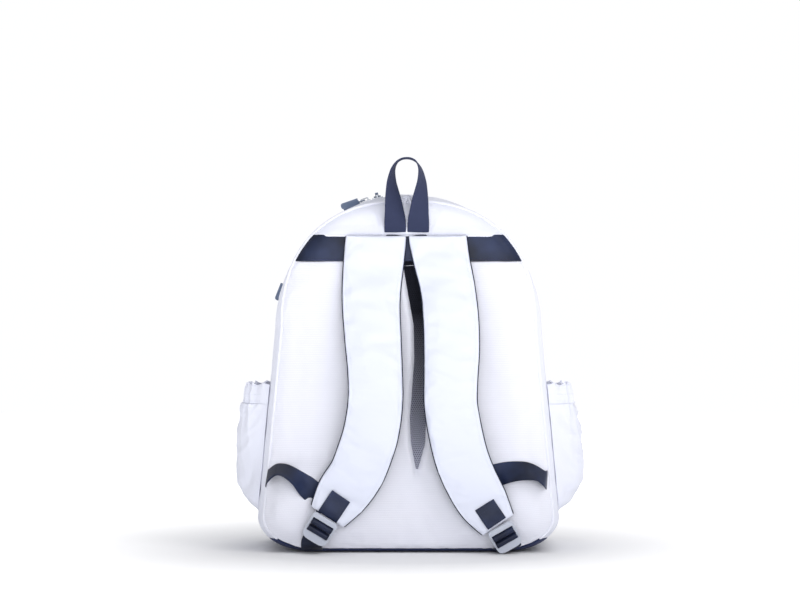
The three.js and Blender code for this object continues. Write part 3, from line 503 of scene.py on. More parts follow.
@dataclass
class Stitching:
    """Thread laid in runs of single stitches, gathered into one piece."""

    name: str
    length: float = 2.4
    gap: float = 1.1
    radius: float = 0.3
    verts: list = field(default_factory=list)
    faces: list = field(default_factory=list)

    def run(self, path: Array, out: Array) -> None:
        """Lays stitches along a path.

        Args:
            path: Points on the fabric's face.
            out: The direction out of the face, one for each point or one for all.
        """
        path = np.asarray(path, float)
        out = np.broadcast_to(np.asarray(out, float), path.shape)
        distance = np.concatenate(([0], np.linalg.norm(np.diff(path, axis=0), axis=1).cumsum()))
        pitch = self.length + self.gap
        for k in range(int((distance[-1] - self.gap) // pitch)):
            start = self.gap + k * pitch
            at = start + self.length * STITCH_AT
            centre = np.stack([np.interp(at, distance, path[:, i]) for i in range(3)], axis=1)
            lift = np.stack([np.interp(at, distance, out[:, i]) for i in range(3)], axis=1)
            centre += unit(lift) * (self.radius * STITCH_OUT)[:, None]
            self._bar(centre, unit(lift))

    def _bar(self, centre: Array, lift: Array) -> None:
        """Adds one stitch round a short line of points."""
        along = tangents(centre)
        side = unit(np.cross(along, lift))
        up = np.cross(side, along)
        self.faces += tube_faces(len(self.verts), len(centre), STITCH_SIDES)
        for c, s, u, size in zip(centre, side, up, STITCH_SIZE):
            for k in range(STITCH_SIDES):
                a = 2 * math.pi * k / STITCH_SIDES
                self.verts.append(c + (s * math.cos(a) + u * math.sin(a)) * self.radius * size)

    def finish(self) -> Thing:
        """Makes the piece from every run laid so far."""
        return facing_out(new_object(self.name, np.array(self.verts), self.faces))


def drape(target: Thing, path: Array, towards: Array) -> Array:
    """Drops points onto a piece's face.

    Args:
        target: The piece to land on.
        path: Points in millimetres, in front of the face.
        towards: The direction to look along, one for each point or one for all.

    Returns:
        The points on the face; a point that misses stays where it was.
    """
    tree = BVHTree.FromObject(target, bpy.context.evaluated_depsgraph_get())
    towards = np.broadcast_to(np.asarray(towards, float), path.shape)
    landed = []
    for point, ray in zip(path, towards):
        hit = tree.ray_cast(Vector(point - ray * DROP) * MM, Vector(ray))[0]
        landed.append(np.array(hit) / MM if hit else point)
    return np.array(landed)


# ---------------------------------------------------------------- shader groups
class Graph:
    """Adds nodes to one shader tree and joins them."""

    def __init__(self, tree: bpy.types.NodeTree) -> None:
        """Starts on a tree."""
        self.tree = tree

    def node(self, kind: str, **settings: object) -> bpy.types.Node:
        """A new node with the given settings."""
        made = self.tree.nodes.new(kind)
        for key, value in settings.items():
            setattr(made, key, value)
        return made

    def feed(self, socket: Socket, value: object) -> None:
        """Links a socket to another, or sets its value."""
        if isinstance(value, Socket):
            self.tree.links.new(value, socket)
        else:
            socket.default_value = value

    def math(self, operation: str, *values: object, clamp: bool = False) -> Socket:
        """The result of one math operation."""
        made = self.node("ShaderNodeMath", operation=operation, use_clamp=clamp)
        for socket, value in zip(made.inputs, values):
            self.feed(socket, value)
        return made.outputs[0]

    def mix(self, factor: object, a: object, b: object) -> Socket:
        """A mix of two colours."""
        made = self.node("ShaderNodeMix", data_type="RGBA")
        for socket, value in ((made.inputs[0], factor), (made.inputs[6], a), (made.inputs[7], b)):
            self.feed(socket, value)
        return made.outputs[2]

    def put(self, node: bpy.types.Node, values: dict[str, object]) -> None:
        """Feeds several of a node's inputs by name."""
        for name, value in values.items():
            self.feed(node.inputs[name], value)

    def group(self, name: str, values: dict[str, object]) -> bpy.types.Node:
        """A shader group placed in this tree."""
        made = self.node("ShaderNodeGroup", node_tree=shader_group(name))
        self.put(made, values)
        return made

    def ridges(self, value: object) -> Socket:
        """Rounded ridges from 0 to 1, one for each unit of the value."""
        return self.math("ABSOLUTE", self.math("SINE", self.math("MULTIPLY", value, math.pi)))

    def bump(self, surface: bpy.types.Node, height: object, strength: float, depth: float) -> None:
        """Raises a surface by a height; the depth is in millimetres."""
        made = self.node("ShaderNodeBump")
        self.put(made, {"Strength": strength, "Distance": depth * MM, "Height": height})
        self.feed(surface.inputs["Normal"], made.outputs[0])


def group_tree(name: str, inputs: Sequence[tuple[str, str, object]], outputs: Sequence[str]) -> tuple:
    """Starts a shader group.

    Args:
        name: The group's name.
        inputs: Each input's name, kind and default.
        outputs: The names of its number outputs.

    Returns:
        The tree, its graph, its input node and its output node.
    """
    tree = bpy.data.node_groups.new(name, "ShaderNodeTree")
    for label, kind, default in inputs:
        socket = tree.interface.new_socket(name=label, in_out="INPUT", socket_type=kind)
        if default is not None:
            socket.default_value = default
    for label in outputs:
        tree.interface.new_socket(name=label, in_out="OUTPUT", socket_type="NodeSocketFloat")
    graph = Graph(tree)
    return tree, graph, graph.node("NodeGroupInput"), graph.node("NodeGroupOutput")


VECTOR, NUMBER = "NodeSocketVector", "NodeSocketFloat"


def weave_tree(name: str, pitch: float) -> tuple:
    """Starts a weave's shader group.

    Args:
        name: The group's name.
        pitch: The usual spacing of its threads, in metres.

    Returns:
        The tree, its graph, its Height socket and the two fabric coordinates counted in threads.
    """
    inputs = [("Vector", VECTOR, None), ("Pitch", NUMBER, pitch)]
    tree, graph, given, out = group_tree(name, inputs, ["Height"])
    split = graph.node("ShaderNodeSeparateXYZ")
    graph.feed(split.inputs[0], given.outputs["Vector"])
    u, v = (graph.math("DIVIDE", split.outputs[i], given.outputs["Pitch"]) for i in (0, 1))
    return tree, graph, out.inputs["Height"], u, v


def plain_weave_group() -> bpy.types.NodeTree:
    """Threads over and under one another: Height is 1 on a thread's crown and 0 between threads."""
    tree, g, height, u, v = weave_tree("plain_weave", 0.001)
    odd = g.math("FLOORED_MODULO", g.math("ADD", g.math("FLOOR", u), g.math("FLOOR", v)), 2.0)
    warp, weft = g.ridges(u), g.ridges(v)
    over = g.math("MULTIPLY", warp, g.math("MULTIPLY_ADD", weft, 0.45, 0.55))
    under = g.math("MULTIPLY", weft, g.math("MULTIPLY_ADD", warp, 0.45, 0.55))
    even = g.math("SUBTRACT", 1.0, odd)
    g.feed(height, g.math("ADD", g.math("MULTIPLY", over, even), g.math("MULTIPLY", under, odd)))
    return tree


def rib_mesh_group() -> bpy.types.NodeTree:
    """Fine ribs across the fabric with eyelets between them."""
    tree, g, height, u, v = weave_tree("rib_mesh", 0.0017)
    rib = g.ridges(v)
    shift = g.math("MULTIPLY", g.math("FLOOR", v), 0.5 * math.pi)
    bead = g.math("ABSOLUTE", g.math("SINE", g.math("ADD", g.math("MULTIPLY", u, math.pi * 0.8), shift)))
    g.feed(height, g.math("MULTIPLY", rib, g.math("MULTIPLY_ADD", bead, 0.35, 0.65)))
    return tree


def webbing_group() -> bpy.types.NodeTree:
    """A chevron weave in columns along a strip of webbing."""
    tree, g, height, u, v = weave_tree("webbing_weave", 0.0016)
    fold = g.math("ABSOLUTE", g.math("SUBTRACT", g.math("FRACT", g.math("MULTIPLY", u, 0.5)), 0.5))
    slant = g.math("SINE", g.math("MULTIPLY", g.math("ADD", g.math("MULTIPLY", v, 1.3), fold), 2 * math.pi))
    column = g.math("MULTIPLY", g.ridges(u), 0.45)
    g.feed(height, g.math("ADD", g.math("MULTIPLY_ADD", slant, 0.22, 0.3), column))
    return tree


def open_mesh_group() -> bpy.types.NodeTree:
    """A net with round holes: Height is 0 in a hole and 1 on the net."""
    tree, g, height, u, v = weave_tree("open_mesh", 0.0022)
    shift = g.math("MULTIPLY", g.math("FLOORED_MODULO", g.math("FLOOR", v), 2.0), 0.5)
    x = g.math("SUBTRACT", g.math("FRACT", g.math("ADD", u, shift)), 0.5)
    y = g.math("SUBTRACT", g.math("FRACT", v), 0.5)
    radius = g.math("SQRT", g.math("ADD", g.math("MULTIPLY", x, x), g.math("MULTIPLY", y, y)))
    g.feed(height, g.math("MULTIPLY", g.math("SUBTRACT", radius, 0.2), 5.0, clamp=True))
    return tree


def variation_group() -> bpy.types.NodeTree:
    """Broad is a soft blotch and Fine a close grain, both from 0 to 1."""
    tree, g, given, out = group_tree(
        "variation", [("Vector", VECTOR, None), ("Broad Scale", NUMBER, 18.0), ("Fine Scale", NUMBER, 900.0)],
        ["Broad", "Fine"],
    )
    for label, detail in (("Broad", 3.0), ("Fine", 2.0)):
        made = g.node("ShaderNodeTexNoise")
        g.feed(made.inputs["Vector"], given.outputs["Vector"])
        g.feed(made.inputs["Scale"], given.outputs[label + " Scale"])
        made.inputs["Detail"].default_value = detail
        g.feed(out.inputs[label], made.outputs[0])
    return tree


def edge_wear_group() -> bpy.types.NodeTree:
    """Mask is 1 on raised edges, broken up by noise."""
    inputs = [("Vector", VECTOR, None), ("Reach", NUMBER, 0.06)]
    tree, g, given, out = group_tree("edge_wear", inputs, ["Mask"])
    shape = g.node("ShaderNodeNewGeometry")
    grain = g.node("ShaderNodeTexNoise")
    g.feed(grain.inputs["Vector"], given.outputs["Vector"])
    grain.inputs["Scale"].default_value = 260.0
    raised = g.math("SUBTRACT", shape.outputs["Pointiness"], 0.51)
    mask = g.math("DIVIDE", raised, given.outputs["Reach"], clamp=True)
    broken = g.math("MULTIPLY", grain.outputs[0], 1.4)
    g.feed(out.inputs["Mask"], g.math("MULTIPLY", mask, broken, clamp=True))
    return tree


class Pattern(Enum):
    """How a fabric is woven."""

    PLAIN = "plain_weave"
    RIB = "rib_mesh"
    WEBBING = "webbing_weave"
    NET = "open_mesh"


GROUP_MAKERS = {
    "plain_weave": plain_weave_group,
    "rib_mesh": rib_mesh_group,
    "webbing_weave": webbing_group,
    "open_mesh": open_mesh_group,
    "variation": variation_group,
    "edge_wear": edge_wear_group,
}


def shader_group(name: str) -> bpy.types.NodeTree:
    """The shader group of that name, made the first time."""
    return bpy.data.node_groups.get(name) or GROUP_MAKERS[name]()


def start_material(name: str) -> tuple:
    """Starts a material.

    Args:
        name: The material's name.

    Returns:
        The material, its graph, its principled shader and its object coordinates.
    """
    material = bpy.data.materials.new(name)
    material.use_nodes = True
    material.node_tree.nodes.clear()
    graph = Graph(material.node_tree)
    surface = graph.node("ShaderNodeBsdfPrincipled")
    output = graph.node("ShaderNodeOutputMaterial")
    material.node_tree.links.new(surface.outputs[0], output.inputs[0])
    place = graph.node("ShaderNodeTexCoord").outputs["Object"]
    return material, graph, surface, place


@dataclass(frozen=True)
class Finish:
    """A finish: its material's name, the slot that it belongs to and its main colour."""

    name: str
    slot: str
    colour: Colour

    def material(self) -> bpy.types.Material:
        """The finish as a material, made the first time."""
        return bpy.data.materials.get(self.name) or self._make()

    def _make(self) -> bpy.types.Material:
        """Builds the material's nodes."""
        raise NotImplementedError


@dataclass(frozen=True)
class Fabric(Finish):
    """A woven finish."""

    between: Colour  # between the threads
    blotch: Colour  # where the colour drifts; on webbing, the colour of its painted satin highlights
    pattern: Pattern = Pattern.PLAIN
    pitch: float = 0.9  # millimetres from thread to thread
    relief: float = 0.12  # millimetres
    depth: float = 0.35  # how much darker it is between the threads
    drift_and_highlight: float = 0.3
    highlight_sharpness: float = 0.0  # how sharply the colour blotches turn into painted satin highlights
    roughness: float = 0.8
    sheen: float = 0.25
    wear: float = 0.1
    gloss: float = 0.0
    uses_uv: bool = True
    high: Optional[Colour] = None  # the colour that takes over towards the top: painted shade, used on the channel mesh
    rise: tuple[float, float] = (0.0, 1.0)  # metres, where it starts and where it is whole

    def _make(self) -> bpy.types.Material:
        """Builds the material's nodes."""
        material, g, surface, place = start_material(self.name)
        threads = g.node("ShaderNodeUVMap", uv_map="weave").outputs[0] if self.uses_uv else place
        weave = g.group(self.pattern.value, {"Vector": threads, "Pitch": self.pitch * MM})
        vary = g.group("variation", {"Vector": place})
        worn = g.group("edge_wear", {"Vector": place})
        gap = g.math("MULTIPLY", g.math("SUBTRACT", 1.0, weave.outputs["Height"]), self.depth, clamp=True)
        colour = g.mix(gap, (*self.colour, 1), (*self.between, 1))
        blotch_and_highlight = vary.outputs["Broad"]
        # Painted satin highlights: the blotch mask is sharpened into soft-edged patches of the lighter blotch
        # colour.
        if self.highlight_sharpness:
            blotch_and_highlight = g.math("MULTIPLY", g.math("SUBTRACT", blotch_and_highlight, 0.42), self.highlight_sharpness, clamp=True)
        colour = g.mix(g.math("MULTIPLY", blotch_and_highlight, self.drift_and_highlight), colour, (*self.blotch, 1))
        # Painted shade: the colour darkens into the high colour towards the top.
        if self.high is not None:
            split = g.node("ShaderNodeSeparateXYZ")
            g.feed(split.inputs[0], place)
            span = self.rise[1] - self.rise[0]
            up = g.math("DIVIDE", g.math("SUBTRACT", split.outputs[2], self.rise[0]), span, clamp=True)
            colour = g.mix(up, colour, (*self.high, 1))
        pale = tuple(min(1.0, c * 1.5 + 0.02) for c in self.colour)
        colour = g.mix(g.math("MULTIPLY", worn.outputs["Mask"], self.wear), colour, (*pale, 1))
        rough = g.math("MULTIPLY_ADD", vary.outputs["Fine"], 0.12, self.roughness - 0.06)
        g.put(surface, {
            "Base Color": colour,
            "Roughness": g.math("MULTIPLY_ADD", gap, 0.2, rough, clamp=True),
            "Sheen Weight": self.sheen,
            "Sheen Roughness": 0.45,
            "Specular IOR Level": 0.25,
            "Coat Weight": self.gloss,
            "Coat Roughness": 0.34,
        })
        height = g.math("MULTIPLY_ADD", vary.outputs["Fine"], 0.35, weave.outputs["Height"])
        g.bump(surface, height, 0.75, self.relief)
        return material


@dataclass(frozen=True)
class Moulded(Finish):
    """A moulded plastic or metal finish."""

    speckle: Colour
    worn: Colour
    roughness: float = 0.45
    metallic: float = 0.0
    grain: float = 0.05  # millimetres
    wear: float = 0.4

    def _make(self) -> bpy.types.Material:
        """Builds the material's nodes."""
        material, g, surface, place = start_material(self.name)
        vary = g.group("variation", {"Vector": place, "Fine Scale": 900.0, "Broad Scale": 60.0})
        worn = g.group("edge_wear", {"Vector": place})
        blotch = g.math("MULTIPLY", vary.outputs["Broad"], 0.6)
        colour = g.mix(blotch, (*self.colour, 1), (*self.speckle, 1))
        colour = g.mix(g.math("MULTIPLY", worn.outputs["Mask"], self.wear), colour, (*self.worn, 1))
        rough = g.math("MULTIPLY_ADD", vary.outputs["Fine"], 0.2, self.roughness - 0.1)
        g.put(surface, {"Base Color": colour, "Metallic": self.metallic, "Roughness": rough})
        g.bump(surface, vary.outputs["Fine"], 0.6, self.grain)
        return material


WHITE = (0.80, 0.815, 0.90)
WHITE_SHADE = (0.56, 0.58, 0.70)
WHITE_DRIFT = (0.74, 0.765, 0.89)
NAVY = (0.0035, 0.0075, 0.025)
NAVY_SHADE = (0.001, 0.002, 0.008)
# Lighter navy: colour drift, and on webbing the painted satin highlight.
NAVY_DRIFT_AND_HIGHLIGHT = (0.022, 0.036, 0.10)

SHELL = Fabric("shell_cloth", "shell_fabric", WHITE, WHITE_SHADE, WHITE_DRIFT, pitch=0.8, relief=0.06)
RIB = Fabric("back_rib_mesh", "rib_mesh", (0.80, 0.805, 0.875), (0.62, 0.63, 0.72), WHITE_DRIFT,
             Pattern.RIB, pitch=2.0, relief=0.16, depth=0.3, roughness=0.92)
STRAP = Fabric("strap_cloth", "strap_fabric", (0.745, 0.775, 0.885), WHITE_SHADE, (0.70, 0.735, 0.875),
               pitch=0.7, relief=0.05, depth=0.2)
STRAP_BACK = Fabric("strap_backing", "strap_lining", (0.010, 0.013, 0.03), NAVY_SHADE, NAVY_DRIFT_AND_HIGHLIGHT, pitch=1.2,
                    sheen=0.05)
LINING = Fabric("lining_cloth", "lining", (0.33, 0.35, 0.45), (0.14, 0.15, 0.2), (0.28, 0.3, 0.4),
                pitch=0.6, relief=0.04, roughness=0.6, uses_uv=False)
# The channel mesh is light grey. It is drawn mid grey as painted shade of the deep channel, and turns near
# black towards the top as painted shadow between the straps.
CHANNEL_MESH_PAINTED_SHADE = Fabric("channel_mesh", "spine_mesh", (0.36, 0.37, 0.45), (0.05, 0.055, 0.08), (0.25, 0.26, 0.34),
               Pattern.NET, pitch=2.2, relief=0.5, depth=0.9, roughness=0.9, sheen=0.0,
               high=(0.006, 0.007, 0.013), rise=(0.10, 0.27))
PIPING = Fabric("piping_cloth", "piping", (0.84, 0.85, 0.92), WHITE_SHADE, WHITE_DRIFT,
                pitch=0.7, relief=0.06)
BASE = Fabric("base_cloth", "base_fabric", (0.010, 0.021, 0.088), (0.004, 0.008, 0.03), (0.016, 0.03, 0.11),
              pitch=1.1, relief=0.12, roughness=0.6, wear=0.2, sheen=0.05, gloss=0.1)
# The webbing's sharpened blotches are painted satin highlights, here and on the handle that copies it.
WEBBING = Fabric("navy_webbing", "webbing", NAVY, NAVY_SHADE, NAVY_DRIFT_AND_HIGHLIGHT,
                 Pattern.WEBBING, pitch=1.7, relief=0.16, depth=0.5, drift_and_highlight=0.7, highlight_sharpness=4.0,
                 roughness=0.48, sheen=0.0, wear=0.12, gloss=0.16)
HANDLE = replace(WEBBING, name="handle_webbing", slot="handle_webbing",
                 colour=(0.006, 0.0115, 0.035), drift_and_highlight=0.6)
BINDING = Fabric("port_binding", "webbing", NAVY, NAVY_SHADE, NAVY_DRIFT_AND_HIGHLIGHT,
                 pitch=1.4, roughness=0.55, sheen=0.05, uses_uv=False)
TAPE = Fabric("zip_tape", "zip_tape", (0.74, 0.755, 0.85), (0.45, 0.47, 0.56), WHITE_DRIFT,
              pitch=1.0, relief=0.1)
THREAD = Fabric("white_thread", "shell_fabric", (0.70, 0.72, 0.82), WHITE_SHADE, WHITE_DRIFT,
                pitch=0.3, uses_uv=False)
NAVY_THREAD = Fabric("navy_thread", "webbing", (0.016, 0.025, 0.065), NAVY_SHADE, NAVY_DRIFT_AND_HIGHLIGHT,
                     pitch=0.3, sheen=0.05, uses_uv=False)
BUCKLE = Moulded("buckle_acetal", "buckle", (0.47, 0.51, 0.60), (0.56, 0.58, 0.66), (0.72, 0.74, 0.80))
COIL = Moulded("zip_coil", "zip_tape", (0.62, 0.64, 0.74), (0.70, 0.72, 0.80), (0.8, 0.8, 0.86),
               roughness=0.35)
SLIDER = Moulded("slider_metal", "slider", (0.36, 0.38, 0.42), (0.28, 0.30, 0.34), (0.65, 0.66, 0.68),
                 roughness=0.32, metallic=1.0, grain=0.02)
PULL = Moulded("pull_rubber", "pull", (0.085, 0.125, 0.215), (0.11, 0.155, 0.25),
               (0.4, 0.44, 0.54), roughness=0.5)
BOARD = Moulded("base_board", "board", (0.09, 0.095, 0.12), (0.07, 0.075, 0.1), (0.2, 0.2, 0.24),
                roughness=0.6)


def place(
    thing: Thing,
    finish: Finish,
    body: Optional[str],
    replaces: Sequence[str] = (),
    fill: Optional[float] = None,
) -> Thing:
    """Dresses a piece and fixes it to a body.

    Args:
        thing: The piece.
        finish: Its finish.
        body: The body it rides on, or None for a piece fixed to no body.
        replaces: The CAD nodes that it stands for.
        fill: How full the padding is, or None for a piece with none; not used.

    Returns:
        The same piece.
    """
    if not thing.data.materials:
        thing.data.materials.append(finish.material())
    if body is not None:
        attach(thing, body)
    if replaces:
        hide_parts(*replaces)
    LOG.info("%s: %d faces", thing.name, len(thing.data.polygons))
    return thing


def keep_node(node: str, finish: Finish) -> None:
    """Dresses a CAD node that stays as it is."""
    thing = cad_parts[node]
    thing.data.materials.clear()
    thing.data.materials.append(finish.material())


# ---------------------------------------------------------------- the body's outline
def box_mm(node: str) -> tuple[Array, Array]:
    """A CAD node's lowest and highest corners in millimetres."""
    low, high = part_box(node)
    return np.array(low) / MM, np.array(high) / MM


@dataclass
class BodyForm:
    """The bag's outline: straight flaring sides, a round arch and quarter-ellipse bottom corners."""

    arch_radius: float = 150.0
    corner_width: float = 60.0
    corner_height: float = 40.0
    seam_round: float = 20.0
    narrowing: float = 8.0
    squareness: float = 0.35
    base_lift: float = 4.0
    seam_y: float = 0.0
    crest_y: float = 0.0
    rim_y: float = 0.0
    foot_half: float = 0.0
    spring: float = 0.0

    def __post_init__(self) -> None:
        """Takes the outer sizes from the frame."""
        back_low, back_high = box_mm("back_cover")
        gusset_high = box_mm("main_gusset")[1]
        self.seam_y, self.crest_y = float(back_high[1]), float(back_low[1])
        self.rim_y = float(box_mm("racket_gusset")[1][1])
        self.foot_half = float(gusset_high[0])
        self.spring = float(gusset_high[2]) - self.arch_radius

    def sizes(self, y: Array | float, inset: float) -> tuple:
        """The outline's sizes at a depth.

        Args:
            y: The depth.
            inset: How far inside the skin.

        Returns:
            The arch's half width, the foot's half width, the lowest height and the arch's power.
        """
        t = np.clip(1 - (np.asarray(y, float) - self.seam_y) / self.seam_round, 0, 1) ** 2
        half = self.arch_radius - self.narrowing * t - inset
        foot = self.foot_half - self.narrowing * t - inset
        return half, foot, self.base_lift * t + inset, 2 / (2 + self.squareness * t)

    def half_width(self, z: Array, y: float, inset: float) -> Array:
        """Half the outline's width at heights z."""
        half, foot, low, power = self.sizes(y, inset)
        z = np.asarray(z, float)
        t = np.clip((z - self.corner_height) / (self.spring - self.corner_height), 0, 1)
        side = foot + (half - foot) * t
        drop = np.clip((self.corner_height - z) / (self.corner_height - low), 0, 1)
        side = side - (self.corner_width - inset) * (1 - np.sqrt(1 - drop**2))
        rise = np.clip((z - self.spring) / half, 0, 1) ** (1 / power)
        arch = half * (1 - rise**2) ** (power / 2)
        return np.where(z > self.spring, arch, side)

    def knots(self, foot: float, extra_z: Sequence[float] = (), extra_angles: Sequence[float] = ()) -> Array:
        """Places round the skin: below 1000 a height on the right, above 2000 one on the left, else an angle.

        Args:
            foot: The height where the skin starts and ends.
            extra_z: Heights that the list must hold.
            extra_angles: Polar angles that the list must hold.

        Returns:
            Rows of side (1, 0 or -1) and height or angle.
        """
        z = np.unique(np.concatenate((np.linspace(foot, self.corner_height, 9),
                                      np.linspace(self.corner_height, self.spring, 62), extra_z)))
        angles = np.unique(np.concatenate((np.linspace(0, 180, 121), extra_angles)))[1:-1]
        right = [(1.0, h) for h in z]
        left = [(-1.0, h) for h in z[::-1]]
        return np.array(right + [(0.0, a) for a in angles] + left)

    def skin(self, knots: Array, ys: Array, inset: float = 0.0) -> Array:
        """A grid of points on the skin.

        Args:
            knots: Places round the skin, from knots().
            ys: Depths, one for each row.
            inset: How far inside the skin.

        Returns:
            Points, depths by knots.
        """
        rows = []
        for y in ys:
            half, _, _, power = self.sizes(y, inset)
            angle = np.radians(np.where(knots[:, 0] == 0, knots[:, 1], 0))
            cos, sin = np.cos(angle), np.sin(angle)
            arch_x = half * np.sign(cos) * np.abs(cos) ** power
            arch_z = self.spring + half * np.abs(sin) ** power
            side = knots[:, 0] != 0
            x = np.where(side, knots[:, 0] * self.half_width(knots[:, 1], y, inset), arch_x)
            z = np.where(side, knots[:, 1], arch_z)
            rows.append(np.stack((x, np.full(len(x), y), z), axis=1))
        return np.array(rows)

    def ring(self, knots: Array, y: float, inset: float = 0.0) -> Array:
        """A line of points round the skin at one depth."""
        return self.skin(knots, np.array((y,)), inset)[0]

    def edge_distance(self, x: Array, z: Array, y: float) -> Array:
        """How far points of a panel lie inside the outline at depth y."""
        knots = self.knots(self.sizes(y, 0)[2] + 0.01)
        line = self.ring(knots, y)[:, (0, 2)]
        foot = np.linspace(line[-1], line[0], 60)
        line = np.vstack((line, foot[1:-1]))
        flat = np.stack((x.ravel(), z.ravel()), axis=1)
        best = np.full(len(flat), 1e9)
        for start in range(0, len(line), 32):
            gaps = np.linalg.norm(flat[:, None] - line[None, start : start + 32], axis=2)
            best = np.minimum(best, gaps.min(axis=1))
        return best.reshape(x.shape)

    def panel(self, y: float, inset: float, low: float, high: float, step: float, columns: int) -> tuple:
        """A grid over the outline between two heights.

        Args:
            y: The depth whose outline is used.
            inset: How far inside the outline the grid ends.
            low: The lowest height.
            high: The highest height.
            step: The spacing of the rows.
            columns: How many columns there are.

        Returns:
            The grids of x and z.
        """
        half, _, bottom, power = self.sizes(y, inset)
        corner = np.radians(np.linspace(-90, 0, 12))
        arch = np.radians(np.linspace(0, 87, int(88 / step * 2.2)))
        heights = np.concatenate((
            self.corner_height + (self.corner_height - bottom) * np.sin(corner),
            np.linspace(self.corner_height, self.spring, int((self.spring - self.corner_height) / step)),
            self.spring + half * np.sin(arch) ** power,
        ))
        margin = step * 0.35
        heights = np.unique(np.round(heights[(heights > low + margin) & (heights < high - margin)], 4))
        heights = np.concatenate(([max(low, bottom)], heights, [min(high, float(heights[-1]) + step * 4)]))
        if high > heights[-2] + step * 4:
            heights = heights[:-1]
        if heights[1] - heights[0] < 1e-3:
            heights = heights[1:]
        heights = heights[np.concatenate(([True], np.diff(heights) > 0.3))]
        t = np.linspace(-1, 1, columns)
        share = t * (1.25 - 0.25 * t**2)
        width = self.half_width(heights, y, inset)
        return width[:, None] * share[None, :], np.repeat(heights[:, None], columns, axis=1)


# ---------------------------------------------------------------- back panel
@dataclass
class BackPanel:
    """The padded back with its ventilation channel, yoke, yoke band and piping."""

    form: BodyForm
    crown: float = 8.0
    edge_inset: float = 1.2
    edge_reach: float = 5.5
    band_proud: float = 1.0
    band_thickness: float = 1.6
    band_seam: float = 2.6  # from the band's edge to its stitching
    yoke_seam: float = 2.4
    overlap: float = 2.5  # of the yoke panel over its band
    channel_foot: float = 94.0
    # share of the way down the channel, x
    channel_left: tuple = ((0, -6.6), (0.147, -0.9), (0.307, 5.7), (0.47, 6.6), (0.754, 1.7),
                           (0.875, 2.8), (1, 8.5))
    channel_right: tuple = ((0, 24), (0.3, 19), (0.754, 19.5), (0.875, 18.5), (1, 10.5))
    # x, z, half width, half height, rise
    pillows: tuple = ((-132, 53, 29, 35, 7.5), (127, 54, 28, 36, 7.5))
    piping_radius: float = 1.75
    seam_lift: float = 0.5  # the padding's rim, off the seam's plane
    billow: Folds = Folds(0.7, 46, 3.1)
    ripple: Folds = Folds(0.25, 15, 8.4)
    pucker: Folds = Folds(0.45, 6.5, 1.7, 1)
    band_sag: Folds = Folds(0.35, 22, 5.5)
    yoke_billow: Folds = Folds(0.5, 34, 6.3)
    yoke_ripple: Folds = Folds(0.18, 11, 2.9)
    mesh_billow: Folds = Folds(0.3, 14, 7.7)
    cord_wobble: Folds = Folds(0.06, 5, 9.1, 1)

    def height(self, x: Array, z: Array) -> Array:
        """How far the padding stands off the seam's plane."""
        inside = self.form.edge_distance(x, z, self.form.seam_y) - self.edge_inset
        return self.crown * 1.04 * (1 - np.exp(-np.maximum(inside, 0) / self.edge_reach))

    def channel(self, x: Array, z: Array, top: float) -> Array:
        """How far points lie inside the channel's edge; negative outside it."""
        share = np.clip((top - z) / (top - self.channel_foot), 0, 1)
        left = np.interp(share, *np.array(self.channel_left).T)
        right = np.interp(share, *np.array(self.channel_right).T)
        sideways = np.minimum(x - left, right - x)
        return np.minimum(sideways, (z - self.channel_foot) * 0.35)

    def shape(self, points: Array, top: float) -> Array:
        """The channel, the pillows under the side loops and the soft folds, as moves along the normal."""
        x, z = points[:, 0], points[:, 2]
        outer = points[:, 1] < self.form.seam_y - 0.6
        inside = self.channel(x, z, top)
        move = -5.6 * smoothstep(-3.2, 1.2, inside)
        roll = np.exp(-(((inside + 6.5) / 3.6) ** 2)) * smoothstep(70, 130, z)
        move += 1.5 * roll
        fade = smoothstep(0, 16, self.form.edge_distance(x, z, self.form.seam_y) - self.edge_inset)
        for cx, cz, rx, rz, rise in self.pillows:
            far = ((x - cx) / rx) ** 2 + ((z - cz) / rz) ** 2
            move += rise * np.exp(-(far**1.5)) * (0.35 + 0.65 * fade)
            crease = np.exp(-(((z - 94 - 0.1 * abs(x - cx)) / 7) ** 2)) * np.exp(-(((x - cx) / 30) ** 2))
            move -= 2.6 * crease * fade
        move += self.billow.at(points * (1, 1, 0.8)) * fade
        move += self.ripple.at(points) * fade
        near_seam = 1 - smoothstep(3, 16, self.form.edge_distance(x, z, self.form.seam_y))
        return np.where(outer, move + self.pucker.at(points) * near_seam, 0)

    def build(self) -> None:
        """Builds the back panel's pieces."""
        self._cover()
        self._yoke_band()
        self._yoke()
        self._channel_mesh()
        self._piping()
        keep_node("back_lining", LINING)

    def _pad(self, name: str, low: float, high: float, step: float, columns: int) -> Thing:
        """A closed pad over the panel between two heights, with its ribs level."""
        x, z = self.form.panel(self.form.seam_y, self.edge_inset, low, high, step, columns)
        front = np.stack((x, self.form.seam_y - self.seam_lift - self.height(x, z), z), axis=2)
        back = np.stack((x, np.full_like(x, self.form.seam_y), z), axis=2)
        pad = closed_pad(name, front, back, 0.4)
        flat_uv(pad, 0, 2)
        return pad

    def _level_seam(self, thread: Stitching, target: Thing, height: float, inset: float, count: int) -> None:
        """Lays a level run of stitches across the panel, dropped onto a piece."""
        reach = float(self.form.half_width(height, self.form.seam_y, inset))
        line = np.linspace((-reach, SIGHT_Y, height), (reach, SIGHT_Y, height), count)
        thread.run(drape(target, line, FORWARD), (0, -1, 0))

    def _cover(self) -> None:
        """The ribbed cover of the padding."""
        top = float(box_mm("back_cover")[1][2])
        pad = self._pad("back_cover_pad", 0, top, 4.2, 78)
        co = vertices_mm(pad)
        sewn = (co[:, 1] > self.form.seam_y - 1.5) | (co[:, 2] > top - 3)
        sewn |= self.channel(co[:, 0], co[:, 2], top) > -3
        inflate(pad, sewn, pressure=2.0, slack=0.004, cap=1.4)
        refine(pad)
        push(pad, lambda points, _: self.shape(points, top))
        place(pad, RIB, "bag", ("back_cover", "back_foam"), fill=0.6)

